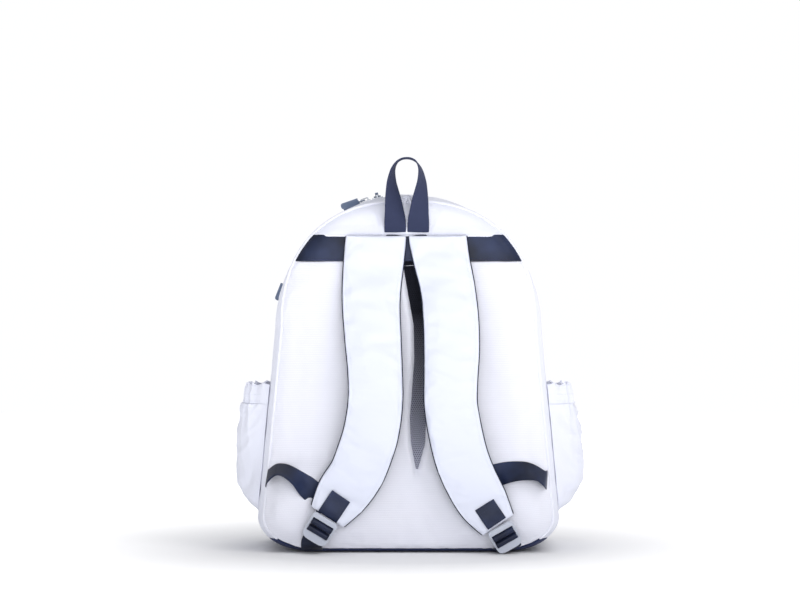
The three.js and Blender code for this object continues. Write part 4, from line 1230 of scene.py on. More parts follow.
    def _yoke_band(self) -> None:
        """The webbing band sewn across the top of the padding, behind the straps."""
        low, high = box_mm("yoke_band")
        seam_y = self.form.seam_y
        x, z = self.form.panel(seam_y, self.edge_inset - 0.4, float(low[2]), float(high[2]), 3.0, 120)
        y = seam_y - self.seam_lift - self.band_proud - self.height(x, z)
        front = np.stack((x, y, z), axis=2)
        front[..., 1] -= self.band_sag.at(front * (1, 0, 0.3))
        band = closed_pad("yoke_band_webbing", front, front + (0, self.band_thickness, 0), 0.2)
        flat_uv(band, 2, 0)
        place(refine(band), WEBBING, "bag", ("yoke_band",))
        thread = Stitching("yoke_band_stitching")
        for height in (low[2] + self.band_seam, high[2] - self.band_seam):
            self._level_seam(thread, band, height, 8, 90)
        place(thread.finish(), NAVY_THREAD, "bag")

    def _yoke(self) -> None:
        """The smooth panel over the band, drawn in round the handle's foot."""
        low = float(box_mm("yoke_panel")[0][2])
        low -= self.overlap
        pad = self._pad("yoke_panel_pad", low, 400, 2.4, 110)

        def folds(points: Array, _: Array) -> Array:
            """The funnel of creases above the handle and the soft folds."""
            x, z = points[:, 0], points[:, 2]
            rise = np.clip((z - low) / 36, 0, 1)
            fade = smoothstep(0, 12, self.form.edge_distance(x, z, self.form.seam_y) - 3)
            move = np.zeros(len(x))
            for side, foot, head in ((-1, 27, 39), (1, 23, 37)):
                edge = side * x - (foot + (head - foot) * rise)
                move -= 1.5 * smoothstep(3, -9, edge) * smoothstep(-30, -6, edge) * (1 - 0.5 * rise)
                move += 0.7 * np.exp(-(((edge - 2.5) / 3) ** 2)) * (1 - 0.6 * rise)
            move += 1.6 * smoothstep(14, 4, z - low)
            move += self.yoke_billow.at(points)
            move += self.yoke_ripple.at(points)
            outer = points[:, 1] < self.form.seam_y - 0.6
            return np.where(outer, move * fade, 0)

        refine(pad)
        push(pad, folds)
        place(pad, SHELL, "bag", ("yoke_panel",), fill=0.4)
        thread = Stitching("yoke_stitching")
        self._level_seam(thread, pad, low + self.yoke_seam, 6, 110)
        place(thread.finish(), THREAD, "bag")

    def _channel_mesh(self) -> None:
        """The open mesh on the channel's floor."""
        low, high = box_mm("spine_mesh")
        rows = np.linspace(low[2], high[2], 90)
        share = (high[2] - rows) / (high[2] - low[2])
        left = np.interp(share, *np.array(self.channel_left).T)
        right = np.interp(share, *np.array(self.channel_right).T)
        t = np.linspace(0, 1, 14)
        x = left[:, None] + (right - left)[:, None] * t[None, :]
        z = np.repeat(rows[:, None], len(t), axis=1)
        dish = 0.8 * np.sin(math.pi * t)[None, :]
        y = low[1] + dish + self.mesh_billow.at(np.stack((x, x * 0, z), axis=2))
        front = np.stack((x, y, z), axis=2)
        net = closed_pad("channel_mesh", front, front + (0, 1.1, 0), 0.1)
        # Its finish carries painted shade, darker towards the top.
        place(refine(net), CHANNEL_MESH_PAINTED_SHADE, "bag", ("spine_mesh",))

    def _piping(self) -> None:
        """The covered cord in the seam round the back."""
        foot = float(box_mm("piping_rear")[0][2]) + self.piping_radius
        line = resample(self.form.ring(self.form.knots(foot), self.form.seam_y), 640)
        radius = self.piping_radius * (1 + self.cord_wobble.at(line))
        place(cord("rear_piping", line, radius), PIPING, "bag", ("piping_rear",))


def resample(line: Array, count: int) -> Array:
    """Points spread evenly along a line."""
    distance = np.concatenate(([0], np.linalg.norm(np.diff(line, axis=0), axis=1).cumsum()))
    at = np.linspace(0, distance[-1], count)
    return np.stack([np.interp(at, distance, line[:, i]) for i in range(3)], axis=1)


# ---------------------------------------------------------------- gussets, zips and base
@dataclass
class Zip:
    """A coil zip: two tapes that meet, with a row of coil turns on each."""

    form: BodyForm
    pitch: float = 1.7
    coil_thickness: float = 2.4
    coil_width: float = 2.7
    tape_thickness: float = 1.2
    # along one turn of the coil: where, and its size there
    turn: tuple = ((-0.62, 0.72), (-0.3, 1.0), (0.3, 1.0), (0.62, 0.72))

    def side(self, name: str, knots: Array, coil_y: float, tape_y: float, body: str, node: str) -> None:
        """Builds one side of the zip.

        Args:
            name: The piece's name.
            knots: Places along the zip.
            coil_y: The depth where the two sides meet.
            tape_y: The depth of the tape's sewn edge.
            body: The body it rides on.
            node: The CAD node it stands for.
        """
        ys = np.linspace(tape_y, coil_y, 7)
        outer = self.form.skin(knots, ys, (self.coil_thickness - self.tape_thickness) / 2)
        tape = wall(name, outer, self.tape_thickness)
        place(tape, TAPE, body, (node,))
        away = 1 if tape_y > coil_y else -1
        line = resample(self.form.ring(knots, coil_y), 1200)
        length = float(np.linalg.norm(np.diff(line, axis=0), axis=1).sum())
        line = resample(line, int(length / self.pitch))
        along = tangents(line)
        out = unit(np.cross(along, FORWARD))
        out *= np.sign(np.sum(out * (line - INSIDE), axis=1, keepdims=True))
        verts: list = []
        faces: list = []
        top, mid = -0.05, -self.coil_thickness / 2
        section = ((0.1, mid), (0.5, top - 0.25), (1.5, top), (self.coil_width - 0.4, top - 0.5),
                   (self.coil_width, mid), (self.coil_width - 0.5, 0.6 - self.coil_thickness))
        centre_y = self.coil_width / 2
        for point, direction, normal in zip(line, along, out):
            faces += tube_faces(len(verts), len(self.turn), len(section))
            for shift, size in self.turn:
                for y, lift in section:
                    y, lift = centre_y + (y - centre_y) * size, mid + (lift - mid) * size
                    verts.append(point + direction * shift + (0, away * y, 0) + normal * lift)
        place(facing_out(new_object(name + "_coil", np.array(verts), faces)), COIL, body)


@dataclass
class BodyShell:
    """The gussets, the main zip and the base."""

    form: BodyForm
    wall: float = 3.0
    zip_half: float = 14.0
    rows_per_mm: float = 0.28
    seam_gap: float = 2.2  # from the zip's slot to the stitching beside it

    def depths(self, stops: Sequence[float]) -> Array:
        """Depths at an even spacing that include every stop."""
        parts = []
        for a, b in zip(stops, stops[1:]):
            parts.append(np.linspace(a, b, max(2, int(abs(b - a) * self.rows_per_mm)) + 1))
        return np.unique(np.round(np.concatenate(parts), 5))

    def soften(self, points: Array, seams: Sequence[float], seed: float, depth: float = 1.0) -> Array:
        """Adds folds and puckers to a grid of skin points."""
        near = np.min([np.abs(points[..., 1] - s) for s in seams], axis=0)
        fade = smoothstep(0, 12, near)
        stretched = points * (1.0, 0.45, 1.0)
        move = -0.9 * depth * np.abs(crumple(stretched, 38, seed)) * fade
        move += 0.3 * crumple(points, 13, seed + 4) * fade
        pucker = crumple(points * (1, 0.25, 1), 5.5, seed + 9, 1)
        move -= 0.5 * np.abs(pucker) * (1 - smoothstep(1, 12, near))
        return points + grid_normals(points) * move[..., None]

    def build(self) -> None:
        """Builds the main gusset, its zip and the base."""
        low, high = box_mm("main_gusset")
        zip_low, zip_high = box_mm("main_zip_rear")
        middle = float(zip_high[1]) + 0.15
        foot = float(zip_low[2]) - 0.3
        slot = (middle - self.zip_half, middle + self.zip_half)
        ys = self.depths((float(low[1]), slot[0], slot[1], float(high[1])))
        knots = self.form.knots(float(low[2]), (foot,))
        grid = self.form.skin(knots, ys)
        centre_y = (grid[:-1, :-1, 1] + grid[1:, 1:, 1]) / 2
        centre_z = (grid[:-1, :-1, 2] + grid[1:, 1:, 2]) / 2
        keep = ~((centre_y > slot[0]) & (centre_y < slot[1]) & (centre_z > foot))
        soft = self.soften(grid, (float(low[1]), slot[0], slot[1], float(high[1])), 2.2)
        gusset = wall("main_gusset_cloth", soft, self.wall, keep)
        place(gusset, SHELL, "bag", ("main_gusset",))
        zip_knots = self.form.knots(foot)
        coil = Zip(self.form)
        coil.side("main_zip_tape_rear", zip_knots, middle - 0.15, slot[0] + 0.3, "bag", "main_zip_rear")
        coil.side("main_zip_tape_front", zip_knots, middle + 0.15, slot[1] - 0.3, "bag", "main_zip_front")
        thread = Stitching("gusset_stitching")
        for y in (slot[0] - self.seam_gap, slot[1] + self.seam_gap):
            run = resample(self.form.ring(zip_knots, y), 420)
            out = unit(run * (1, 0, 1) - (0, 0, 200))
            thread.run(drape(gusset, run, -out), out)
        place(thread.finish(), THREAD, "bag")
        self._base()
        keep_node("divider", LINING)
        keep_node("base_board", BOARD)

    def _base(self) -> None:
        """The navy base panel, which wraps up round the bottom corners."""
        low, high = box_mm("base_panel")
        ys = self.depths((float(low[1]), float(low[1]) + 20, float(high[1])))
        rows = []
        for y in ys:
            _, foot, bottom, _ = self.form.sizes(y, 0)
            angle = np.arcsin((high[2] - self.form.corner_height) / (self.form.corner_height - bottom))
            a = np.linspace(angle, -math.pi / 2, 16)
            x = foot - self.form.corner_width * (1 - np.cos(a))
            z = self.form.corner_height + (self.form.corner_height - bottom) * np.sin(a)
            flat = np.linspace(x[-1], -x[-1], 60)[1:-1]
            line_x = np.concatenate((x, flat, -x[::-1]))
            line_z = np.concatenate((z, np.full(len(flat), bottom), z[::-1]))
            rows.append(np.stack((line_x, np.full(len(line_x), y), line_z), axis=1))
        place(wall("base_panel_cloth", np.array(rows), self.wall), BASE, "bag", ("base_panel",))


# ---------------------------------------------------------------- racket compartment
@dataclass
class RacketCompartment:
    """The racket compartment's gusset, port, zip and hinged front panel."""

    form: BodyForm
    wall: float = 3.0
    port_from: float = 127.0
    port_to: float = 153.0
    binding: float = 3.3
    crown: float = 6.4
    edge_inset: float = 3.0
    edge_reach: float = 5.0
    fill: float = 0.5
    billow: Folds = Folds(0.7, 52, 4.6)
    ripple: Folds = Folds(0.25, 16, 9.9)
    pucker: Folds = Folds(0.4, 6, 3.3, 1)
    cord_wobble: Folds = Folds(0.06, 5, 2.6, 1)

    def height(self, x: Array, z: Array) -> Array:
        """How far the front panel's padding stands off its seam."""
        inside = self.form.edge_distance(x, z, 0.0) - self.edge_inset
        return self.crown * (1 - np.exp(-np.maximum(inside, 0) / self.edge_reach))

    def build(self) -> None:
        """Builds the compartment's pieces."""
        self._gusset()
        self._panels()
        shell = rounded_copy("racket_port_binding", "port_binding_tape", 0.7, 2, 40)
        place(shell, BINDING, "bag", ("racket_port_binding",))
        keep_node("racket_panel_lining", LINING)

    def _gusset(self) -> None:
        """The gusset behind the racket zip, open at the port, and the zip itself."""
        low, high = box_mm("racket_gusset")
        tape_low, tape_high = box_mm("racket_zip_rear_right")
        front_high = box_mm("racket_zip_front")[1]
        port_low = box_mm("racket_port_binding")[0]
        split, zip_y = float(tape_low[1]) - 0.3, float(tape_high[1]) + 0.15
        hinge = float(tape_low[2]) - 0.9
        margin = math.degrees(self.binding / self.form.arch_radius)
        edges = (self.port_from - margin, self.port_to + margin)
        shell = BodyShell(self.form)
        ys = shell.depths((float(low[1]), float(port_low[1]) - 0.3, split, float(high[1])))
        knots = self.form.knots(float(low[2]), (hinge,), edges)
        grid = self.form.skin(knots, ys)
        centre = (grid[:-1, :-1] + grid[1:, 1:]) / 2
        angle = np.degrees(np.arctan2(centre[..., 2] - self.form.spring, centre[..., 0]))
        in_port = (angle > edges[0]) & (angle < edges[1]) & (centre[..., 1] > port_low[1] - 0.3)
        flap = (centre[..., 1] > split) & (centre[..., 2] > hinge)
        soft = shell.soften(grid, (float(low[1]), split, float(high[1])), 12.4, 0.8)
        gusset = wall("racket_gusset_cloth", soft, self.wall, ~(in_port | flap))
        place(gusset, SHELL, "bag", ("racket_gusset",))
        coil = Zip(self.form)
        zip_knots = self.form.knots(hinge + 0.3, (), edges)
        polar = np.where(zip_knots[:, 0] == 0, zip_knots[:, 1], np.where(zip_knots[:, 0] > 0, 0, 180))
        right = zip_knots[polar <= edges[0] - 0.2]
        left = zip_knots[polar >= edges[1] + 0.2]
        coil.side("racket_zip_tape_right", right, zip_y - 0.15, split + 0.3, "bag", "racket_zip_rear_right")
        coil.side("racket_zip_tape_left", left, zip_y - 0.15, split + 0.3, "bag", "racket_zip_rear_left")
        coil.side("racket_zip_tape_front", zip_knots, zip_y + 0.15, float(front_high[1]),
                  "racket_panel", "racket_zip_front")

    def _panels(self) -> None:
        """The hinged front panel, the fixed panel below it and the front piping."""
        low, high = box_mm("racket_panel")
        lower_top = float(box_mm("front_lower_panel")[1][2])
        for name, node, body, foot, top in (
            ("racket_panel_pad", "racket_panel", "racket_panel", float(low[2]), 420.0),
            ("front_lower_pad", "front_lower_panel", "bag", 0.0, lower_top),
        ):
            x, z = self.form.panel(0.0, self.edge_inset, foot, top, 4.4, 76)
            back_y = float(box_mm(node)[0][1])
            rise = self.height(x, z)
            hem = smoothstep(0, 12, np.abs(z - (float(low[2]) - 0.3)))
            front = np.stack((x, float(low[1]) + 0.4 + rise * (0.35 + 0.65 * hem), z), axis=2)
            back = np.stack((x, np.full_like(x, back_y), z), axis=2)
            pad = closed_pad(name, front, back, 0.4)
            sewn = vertices_mm(pad)[:, 1] < low[1] + 1.4
            inflate(pad, sewn, pressure=2.5, slack=0.01, cap=3)
            refine(pad)

            def folds(points: Array, _: Array) -> Array:
                """Soft folds and seam puckers."""
                inside = self.form.edge_distance(points[:, 0], points[:, 2], 0.0)
                fade = smoothstep(3, 14, inside)
                move = self.billow.at(points) * fade + self.ripple.at(points) * fade
                move -= np.abs(self.pucker.at(points)) * (1 - fade)
                return np.where(points[:, 1] > low[1] + 0.8, move, 0)

            push(pad, folds)
            place(pad, SHELL, body, (node,), fill=self.fill)
            if body == "racket_panel":
                thread = Stitching("racket_panel_stitching")
                line = resample(self.form.ring(self.form.knots(foot + 20), 0.0, 10.0), 420)
                line[:, 1] = high[1] + 4
                thread.run(drape(pad, line, -FORWARD), (0, 1, 0))
                place(thread.finish(), THREAD, body)
        self._piping()

    def _piping(self) -> None:
        """The covered cord in the front panel's seam."""
        low, high = box_mm("piping_front")
        radius = float((high[1] - low[1]) / 2)
        knots = self.form.knots(float(low[2]) + 0.2)
        line = resample(self.form.ring(knots, float(low[1]) + radius, radius + 0.3), 600)
        wobble = radius * (1 + self.cord_wobble.at(line))
        place(cord("front_piping", line, wobble), PIPING, "racket_panel", ("piping_front",))


# ---------------------------------------------------------------- side pockets
@dataclass
class SidePocket:
    """A side pocket with a gathered elastic hem."""

    form: BodyForm
    name: str
    side: int
    profile: tuple  # height, how far it stands out
    wall: float = 2.5
    middle_y: float = -25.0
    half_length: float = 47.0
    root: float = 30.0
    hem_height: float = 23.0
    pleat_depth: float = 1.9
    pleat_width: float = 6.8
    fold_depth: float = 3.4
    hem_seams: tuple = (3.2, 11.0)  # stitching above the hem's foot
    top_seam: float = 3.0  # and below its top

    def _grid(self, low: float, high: float, rows: int) -> Array:
        """Points on the pocket's outer face between two heights."""
        heights, stands = np.array(self.profile).T
        z = np.linspace(low, high, rows)
        stand = np.interp(z, heights, stands)
        kernel = np.ones(7) / 7
        if rows > 20:
            stand = np.convolve(np.pad(stand, 3, "edge"), kernel, "valid")
        body = self.form.half_width(z, 0.0, 0.0)
        meet = (self.root / (self.root + np.maximum(stand, 0.6))) ** 1.5
        t = np.linspace(-1, 1, 84)
        angle = np.arccos(meet)[:, None] * np.sign(t) * np.abs(t) ** 0.85
        power = 2 / 3
        y = self.middle_y + self.half_length * np.sign(angle) * np.abs(np.sin(angle)) ** power
        reach = (self.root + stand)[:, None] * np.cos(angle) ** power
        x = self.side * (body[:, None] - self.root + reach + 0.2)
        return np.stack((x, y, np.repeat(z[:, None], len(t), axis=1)), axis=2)

    def _gathers(self, grid: Array) -> Array:
        """Pleats under the elastic, and the slanting folds that run down from them."""
        z, y = grid[..., 2], grid[..., 1]
        top = self.profile[-1][0]
        around = y - self.middle_y
        phase = around / self.pleat_width + 0.35 * np.sin(around / 11.0) + 0.008 * (top - z)
        pleats = 1 - 2 * np.abs(np.sin(math.pi * phase)) ** 0.7
        strength = np.exp(-np.maximum(top - self.hem_height - z, 0) / 30)
        hem = z > top - self.hem_height
        amount = self.pleat_depth * pleats * np.where(hem, 0.8, strength)
        cross = 0.85 * self.side * grid[..., 0] + 0.5 * z - 0.25 * y
        slant = np.stack((cross, 0.3 * y, 0.16 * (z - self.side * grid[..., 0])), axis=2)
        folds = 0.8 - 2.4 * np.abs(crumple(slant, 21, 3.3 + self.side, 2))
        away = smoothstep(self.profile[0][0], self.profile[0][0] + 26, z)
        amount += self.fold_depth * folds * away * np.where(hem, 0.15, 1)
        lift = 1.5 * pleats * smoothstep(top - 9, top, z)
        grid = grid + np.stack((0 * z, 0 * z, lift), axis=2)
        edge = smoothstep(0, 9, self.half_length - np.abs(around))
        return grid + grid_normals(grid) * ((amount - 0.5) * edge)[..., None]

    def build(self) -> None:
        """Builds the pocket's wall, its hem and the hem's stitching."""
        foot, top = self.profile[0][0], self.profile[-1][0]
        seam = top - self.hem_height
        face = self._gathers(self._grid(foot, seam - 0.2, 84))
        body = wall("pocket_cloth_" + self.name, face, self.wall)
        place(body, SHELL, "bag", ("side_pocket_" + self.name,))
        hem_grid = self._gathers(self._grid(seam + 0.1, top, 16))
        bulge = np.sin(np.linspace(0, math.pi, len(hem_grid)))[:, None, None]
        hem_face = hem_grid + grid_normals(hem_grid) * bulge * 0.9
        hem = wall("pocket_hem_cloth_" + self.name, hem_face, self.wall)
        place(refine(hem), SHELL, "bag", ("pocket_hem_" + self.name,))
        thread = Stitching("pocket_stitching_" + self.name)
        for height in (*(seam + rise for rise in self.hem_seams), top - self.top_seam):
            row = int(np.argmin(np.abs(hem_grid[:, 0, 2] - height)))
            line = resample(hem_grid[row, 6:-6], 200)
            out = np.array((self.side, 0.0, 0.0))
            thread.run(drape(hem, line, -out), out)
        place(thread.finish(), THREAD, "bag")


# ---------------------------------------------------------------- shoulder straps and adjusters
@dataclass
class Strap:
    """A padded shoulder strap with its tab, ladder lock and adjusting webbing."""

    form: BodyForm
    name: str
    stations: tuple  # share of the way down, x, width, gap behind the strap
    tilt: float
    lean: float
    anchor_x: float
    top: float = 354.0
    lining: float = 1.8
    thickness: float = 9.8
    web_width: float = 24.0
    web: float = 1.6
    tab_length: float = 29.0
    bars: tuple = (6.0, 2.6, 2.8, 6.2, 2.8, 2.6, 10.0)  # crossbar, then slot and bar in turn to the lip
    behind: float = 1.25  # webbing behind a bar
    over: float = 6.55  # webbing over a bar
    bend: float = 1.2  # the radius of a fold in the webbing
    bar_room: float = 0.35  # between a bar and the webbing round it
    lip_out: float = 0.5  # where the webbing leaves the lip
    lip_gap: float = 0.6  # between the two layers that leave it
    seam_inset: float = 4.2
    tab_half: float = 9.5  # half the width of the tab's box of stitches

    def run(self, count: int) -> tuple:
        """The strap's middle line on its rear face.

        Args:
            count: How many stations to return.

        Returns:
            Points, directions across, directions out, and widths.
        """
        foot = float(box_mm("strap_lining_" + self.name)[0][2])
        raw = np.array(self.stations, float)
        low = self._foot_height(foot)
        behind_y = self.form.crest_y - 1.0
        points = np.stack((raw[:, 1], behind_y - raw[:, 3], self.top + (low - self.top) * raw[:, 0]), axis=1)
        dense = catmull(np.hstack((points, raw[:, 2:3])), count)
        at, width = dense[:, :3], dense[:, 3]
        along = tangents(at)
        along[0] = (0, 0, -1)
        across = unit(np.cross(along, FORWARD))
        return at, across, unit(np.cross(along, across)), width

    def _foot_height(self, low: float) -> float:
        """The height of the strap's end, from its lining's lowest corner and its last slope."""
        last, before = np.array(self.stations[-1]), np.array(self.stations[-2])
        drop = (last[0] - before[0]) * (self.top - low)
        slope = math.atan2(abs(last[1] - before[1]), drop)
        return low + last[2] / 2 * math.sin(slope)

    def frame(self) -> tuple:
        """The adjuster's own frame.

        Returns:
            Its origin, its direction over the width, its direction out and its direction down.
        """
        at, _, out, _ = self.run(60)
        tilt = Matrix.Rotation(math.radians(self.tilt), 3, "Y")
        turn = tilt @ Matrix.Rotation(math.radians(self.lean), 3, "X")
        axes = [np.array(turn @ Vector(v)) for v in ((1, 0, 0), (0, -1, 0), (0, 0, -1))]
        return (at[-1] + out[-1] * self.thickness, *axes)

    def build(self) -> None:
        """Builds the strap and everything on it."""
        self._cover()
        self._tab()
        self._adjuster()
        self._anchor()

    def _cover(self) -> None:
        """The padded cover and the backing that shows along its edges."""
        body = "strap_" + self.name
        at, across, out, width = self.run(78)
        theta = np.linspace(math.pi, 0, 21)
        share = np.sign(np.cos(theta)) * np.abs(np.cos(theta)) ** 0.62
        bulge = np.abs(np.sin(theta)) ** 0.5
        half = (width / 2 - 0.6)[:, None, None]
        base = self.lining + 0.35
        side = at[:, None] + across[:, None] * share[None, :, None] * half
        front = side + out[:, None] * (base + 0.6 + (self.thickness - base - 1.4) * bulge)[None, :, None]
        back = side + out[:, None] * base
        pad = closed_pad("strap_pad_" + self.name, front, back, 0.5)
        count = front.shape[0] * front.shape[1]
        sewn = np.ones(len(pad.data.vertices), bool)
        inner = np.zeros(front.shape[:2], bool)
        inner[1:-1, 2:-2] = True
        sewn[:count] = ~inner.ravel()
        inflate(pad, sewn, pressure=4.0, slack=0.02, cap=2.4)
        refine(pad)

        def wrinkles(points: Array, normals: Array) -> Array:
            """Soft folds across the strap."""
            facing = smoothstep(0.2, 0.8, -normals[:, 1])
            slant = points + np.outer(points[:, 0], (0, 0, 0.35))
            across_fold = np.abs(crumple(slant * (0.5, 1, 1), 24, 5.2 + self.anchor_x, 2))
            return facing * (0.7 - 2.3 * across_fold + 0.9 * crumple(points * (0.6, 1, 1), 34, 1.4))

        push(pad, wrinkles)
        place(pad, STRAP, body, ("strap_cover_" + self.name, "strap_foam_" + self.name), fill=0.6)
        middle = at + out * (self.lining / 2)
        backing = ribbon("strap_backing_" + self.name, middle, across, out, width + 1.5, self.lining)
        place(refine(backing), STRAP_BACK, body, ("strap_lining_" + self.name,))
        thread = Stitching("strap_stitching_" + self.name)
        for edge in (-1, 1):
            line = at + across * (edge * (width / 2 - self.seam_inset))[:, None] + out * self.thickness
            thread.run(drape(pad, resample(line[4:-2], 220), -resample(out[4:-2], 220)), (0, -1, 0))
        place(thread.finish(), THREAD, body)
        self.pad = pad

    def _tab(self) -> None:
        """The webbing tab sewn on the end of the strap."""
        body = "strap_" + self.name
        at, across, out, _ = self.run(240)
        distance = np.linalg.norm(at - at[-1], axis=1)
        chosen = distance < self.tab_length
        line = drape(self.pad, at[chosen] + out[chosen] * self.thickness, -out[chosen])
        step = max(1, len(line) // 4)
        flat, lift, cross = (catmull(run[::step], 20) for run in (line, out[chosen], across[chosen]))
        middle = flat + lift * (self.web / 2 + 0.25)
        tab = ribbon("strap_tab_webbing_" + self.name, middle, unit(cross), unit(lift),
                     self.web_width, self.web)
        place(refine(tab), WEBBING, body, ("strap_tab_" + self.name,))
        thread = Stitching("tab_stitching_" + self.name, length=2.0, radius=0.28)
        face = middle + lift * self.web / 2
        for row in (1, 5, 15):
            ends = (face[row] - cross[row] * self.tab_half, face[row] + cross[row] * self.tab_half)
            thread.run(np.linspace(*ends, 10), lift[row])
        for edge in (-self.tab_half, self.tab_half):
            thread.run(face[1:16] + cross[1:16] * edge, lift[1:16])
        place(thread.finish(), NAVY_THREAD, body)

    def _folded(self, name: str, path: Sequence[Sequence[float]], node: str) -> None:
        """Webbing folded through the ladder lock along a path of [down, out] points."""
        origin, across, out, down = self.frame()
        line = catmull(path, 90)
        raised = line[:, 1] - (self.over - self.bend)
        line[:, 1] += 0.8 * np.clip(raised, 0, self.bend)
        centre = origin + line[:, :1] * down + line[:, 1:] * out
        along = tangents(centre)
        normal = unit(np.cross(along, across))
        cross = np.repeat(across[None], len(centre), axis=0)
        strip = ribbon(name, centre, cross, normal, self.web_width + 1.2, self.web)
        place(strip, WEBBING, "buckle_" + self.name, (node,))

    def _adjuster(self) -> None:
        """The ladder lock with the webbing folded through it."""
        crossbar, slot_top, tab_bar, slot_middle, lower_bar, _, _ = self.bars
        turn, room = self.bend, self.bar_room + self.web / 2
        behind, over = self.behind, self.over
        rise = crossbar + slot_top - room
        fall = crossbar + slot_top + tab_bar + room
        self._folded("tab_loop_webbing_" + self.name, (
            (2, behind), (rise - 2 * turn, behind), (rise, behind + turn),
            (rise, over - turn), (rise + turn, over), (fall - turn, over), (fall, over - turn),
            (fall, behind + turn), (fall - turn, behind), (fall - 2.4 * turn, behind),
        ), "tab_loop_" + self.name)
        bar = crossbar + slot_top + tab_bar + slot_middle
        rise, fall = bar - room, bar + lower_bar + room
        end = sum(self.bars)
        front = self.lip_out
        rear = front - self.web - self.lip_gap
        self._folded("wrap_webbing_" + self.name, (
            (end, rear), (fall + 3 * turn, rear), (rise + 2 * turn, rear), (rise, rear + 2 * turn),
            (rise, over - turn), (rise + turn, over), (fall - turn, over), (fall, over - turn),
            (fall, front + 1.4 * turn), (fall + 1.5 * turn, front), (fall + 3 * turn, front), (end, front),
        ), "webbing_wrap_" + self.name)
        lock = rounded_copy("buckle_" + self.name, "ladder_lock_" + self.name, 0.75, 3)
        place(lock, BUCKLE, "buckle_" + self.name, ("buckle_" + self.name,))

    def _anchor(self) -> None:
        """The webbing from behind the lip down to the base seam, in two lengths that meet half way."""
        origin, across, out, down = self.frame()
        length = sum(self.bars)
        top = origin + down * (length + 0.3) + out * self.lip_out
        foot = np.array((self.anchor_x, self.form.seam_y - 3.3, 4.5))
        a, b = origin + down * (length + 6), foot + ((top[0] - foot[0]) / 3, -9, 3)
        t = np.linspace(0, 1, 41)[:, None]
        line = top * (1 - t) ** 3 + 3 * a * t * (1 - t) ** 2 + 3 * b * t**2 * (1 - t) + foot * t**3
        side = unit(across * (1 - t) + np.array((1.0, 0, 0)) * t)
        face = unit(np.cross(tangents(line), side))
        half = len(line) // 2
        upper = ribbon("upper_webbing_" + self.name, line[: half + 1], side[: half + 1], face[: half + 1],
                       self.web_width, self.web)
        lower = ribbon("lower_webbing_" + self.name, line[half:], side[half:], face[half:],
                       self.web_width, self.web)
        place(upper, WEBBING, None, ("strap_webbing_" + self.name,))
        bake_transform(upper)
        place(lower, WEBBING, None)
        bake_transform(lower)


# ---------------------------------------------------------------- loops and handle
@dataclass
class Loops:
    """The two side loops and the grab handle."""

    form: BodyForm
    width: float = 25.0
    web: float = 1.6
    # x, height, stand off the back's face, twist and lean in degrees
    left: tuple = ((-157.8, 84.0, -3.5, 36, 8), (-156.6, 86.6, 8.5, 54, 7), (-149.2, 93.4, 12.6, 62, 5),
                   (-142, 94.6, 13.6, 62, 6), (-134.1, 91.9, 13, 57, 20), (-122.8, 84.3, 11.5, 48, 40),
                   (-114.4, 76.2, 8, 24, 40), (-106, 67.6, 5.4, 8, 42), (-98.6, 58, 4.4, 0, 45),
                   (-92.5, 50.5, 4, 0, 45))
    right: tuple = ((154.6, 82.0, -3.5, 32, 6), (151.4, 84, 8.3, 49, 6), (142.9, 90, 11.4, 51, 0),
                    (133.5, 92.5, 11.6, 43, 3), (122.4, 92.5, 9.5, 33, 7), (110.7, 90.9, 7.5, 22, 0),
                    (100.5, 88.3, 4.7, 10, -13), (86.3, 84.7, 2.2, 0, -15))
    handle_x: float = -2.0
    handle_width: float = 24.0
    # height above the yoke's seam, half spread, twist in degrees
    leg: tuple = ((2.6, 12.8, 0), (13, 12.9, 5), (24, 13.6, 26), (41, 15.3, 45), (50, 16.2, 56),
                  (59.5, 16.7, 67), (71.7, 15.3, 80), (79.8, 11.3, 88), (83.6, 5.9, 90), (84.6, 0, 90))

    def build(self) -> None:
        """Builds the loops and the handle."""
        for name, stations in (("left", self.left), ("right", self.right)):
            dense = catmull(stations, 72)
            points = np.stack((dense[:, 0], self.form.crest_y - dense[:, 2], dense[:, 1]), axis=1)
            along = np.gradient(points, axis=0)
            twist, lean = np.radians(dense[:, 3:].T)
            level = np.cos(twist)
            across = np.stack((np.sin(lean) * level, np.sin(twist), np.cos(lean) * level), axis=1)
            out = unit(np.cross(across, along))
            loop = ribbon("side_loop_webbing_" + name, points, across, out, self.width, self.web)
            place(refine(loop), WEBBING, "bag", ("side_loop_" + name,))
        self._handle()

    def _handle(self) -> None:
        """The webbing handle, whose legs turn edge-on towards its crown."""
        seam = float(box_mm("yoke_band")[1][2])
        leg = [(-x, z, twist) for z, x, twist in self.leg]
        path = leg + [(-x, z, 180 - twist) for x, z, twist in leg[-2::-1]]
        dense = catmull(path, 150)
        twist = np.radians(dense[:, 2])
        face = self.form.crest_y - self.web
        y = face - np.sin(twist) * self.handle_width / 2
        points = np.stack((self.handle_x + dense[:, 0], y, seam + dense[:, 1]), axis=1)
        along = tangents(points)
        across = unit(np.cross(along, FORWARD)) * -np.cos(twist)[:, None]
        across[:, 1] = np.sin(twist)
        across = unit(across)
        out = unit(np.cross(across, along))
        strip = ribbon("grab_handle_webbing", points, across, out, self.handle_width, self.web)
        place(refine(strip), HANDLE, "handle", ("grab_handle",))


# ---------------------------------------------------------------- zip sliders and pulls
@dataclass
class Sliders:
    """The metal sliders and their moulded pulls."""

    names: tuple = ("main_zip_a", "main_zip_b", "racket_zip_a", "racket_zip_b")

    def build(self) -> None:
        """Builds each slider and its pull."""
        for name in self.names:
            slider = rounded_copy(name + "_slider", name + "_slider_body", 0.35, 2)
            place(slider, SLIDER, name, (name + "_slider",))
            pull = rounded_copy(name + "_pull", name + "_pull_grip", 0.6, 3)
            place(pull, PULL, name + "_pull", (name + "_pull",))


# ---------------------------------------------------------------- studio
@dataclass(frozen=True)
class Lamp:
    """A square soft light: its place and size in metres, its power in watts and its colour."""

    name: str
    at: tuple
    size: float
    power: float
    colour: Colour = (1.0, 1.0, 1.0)


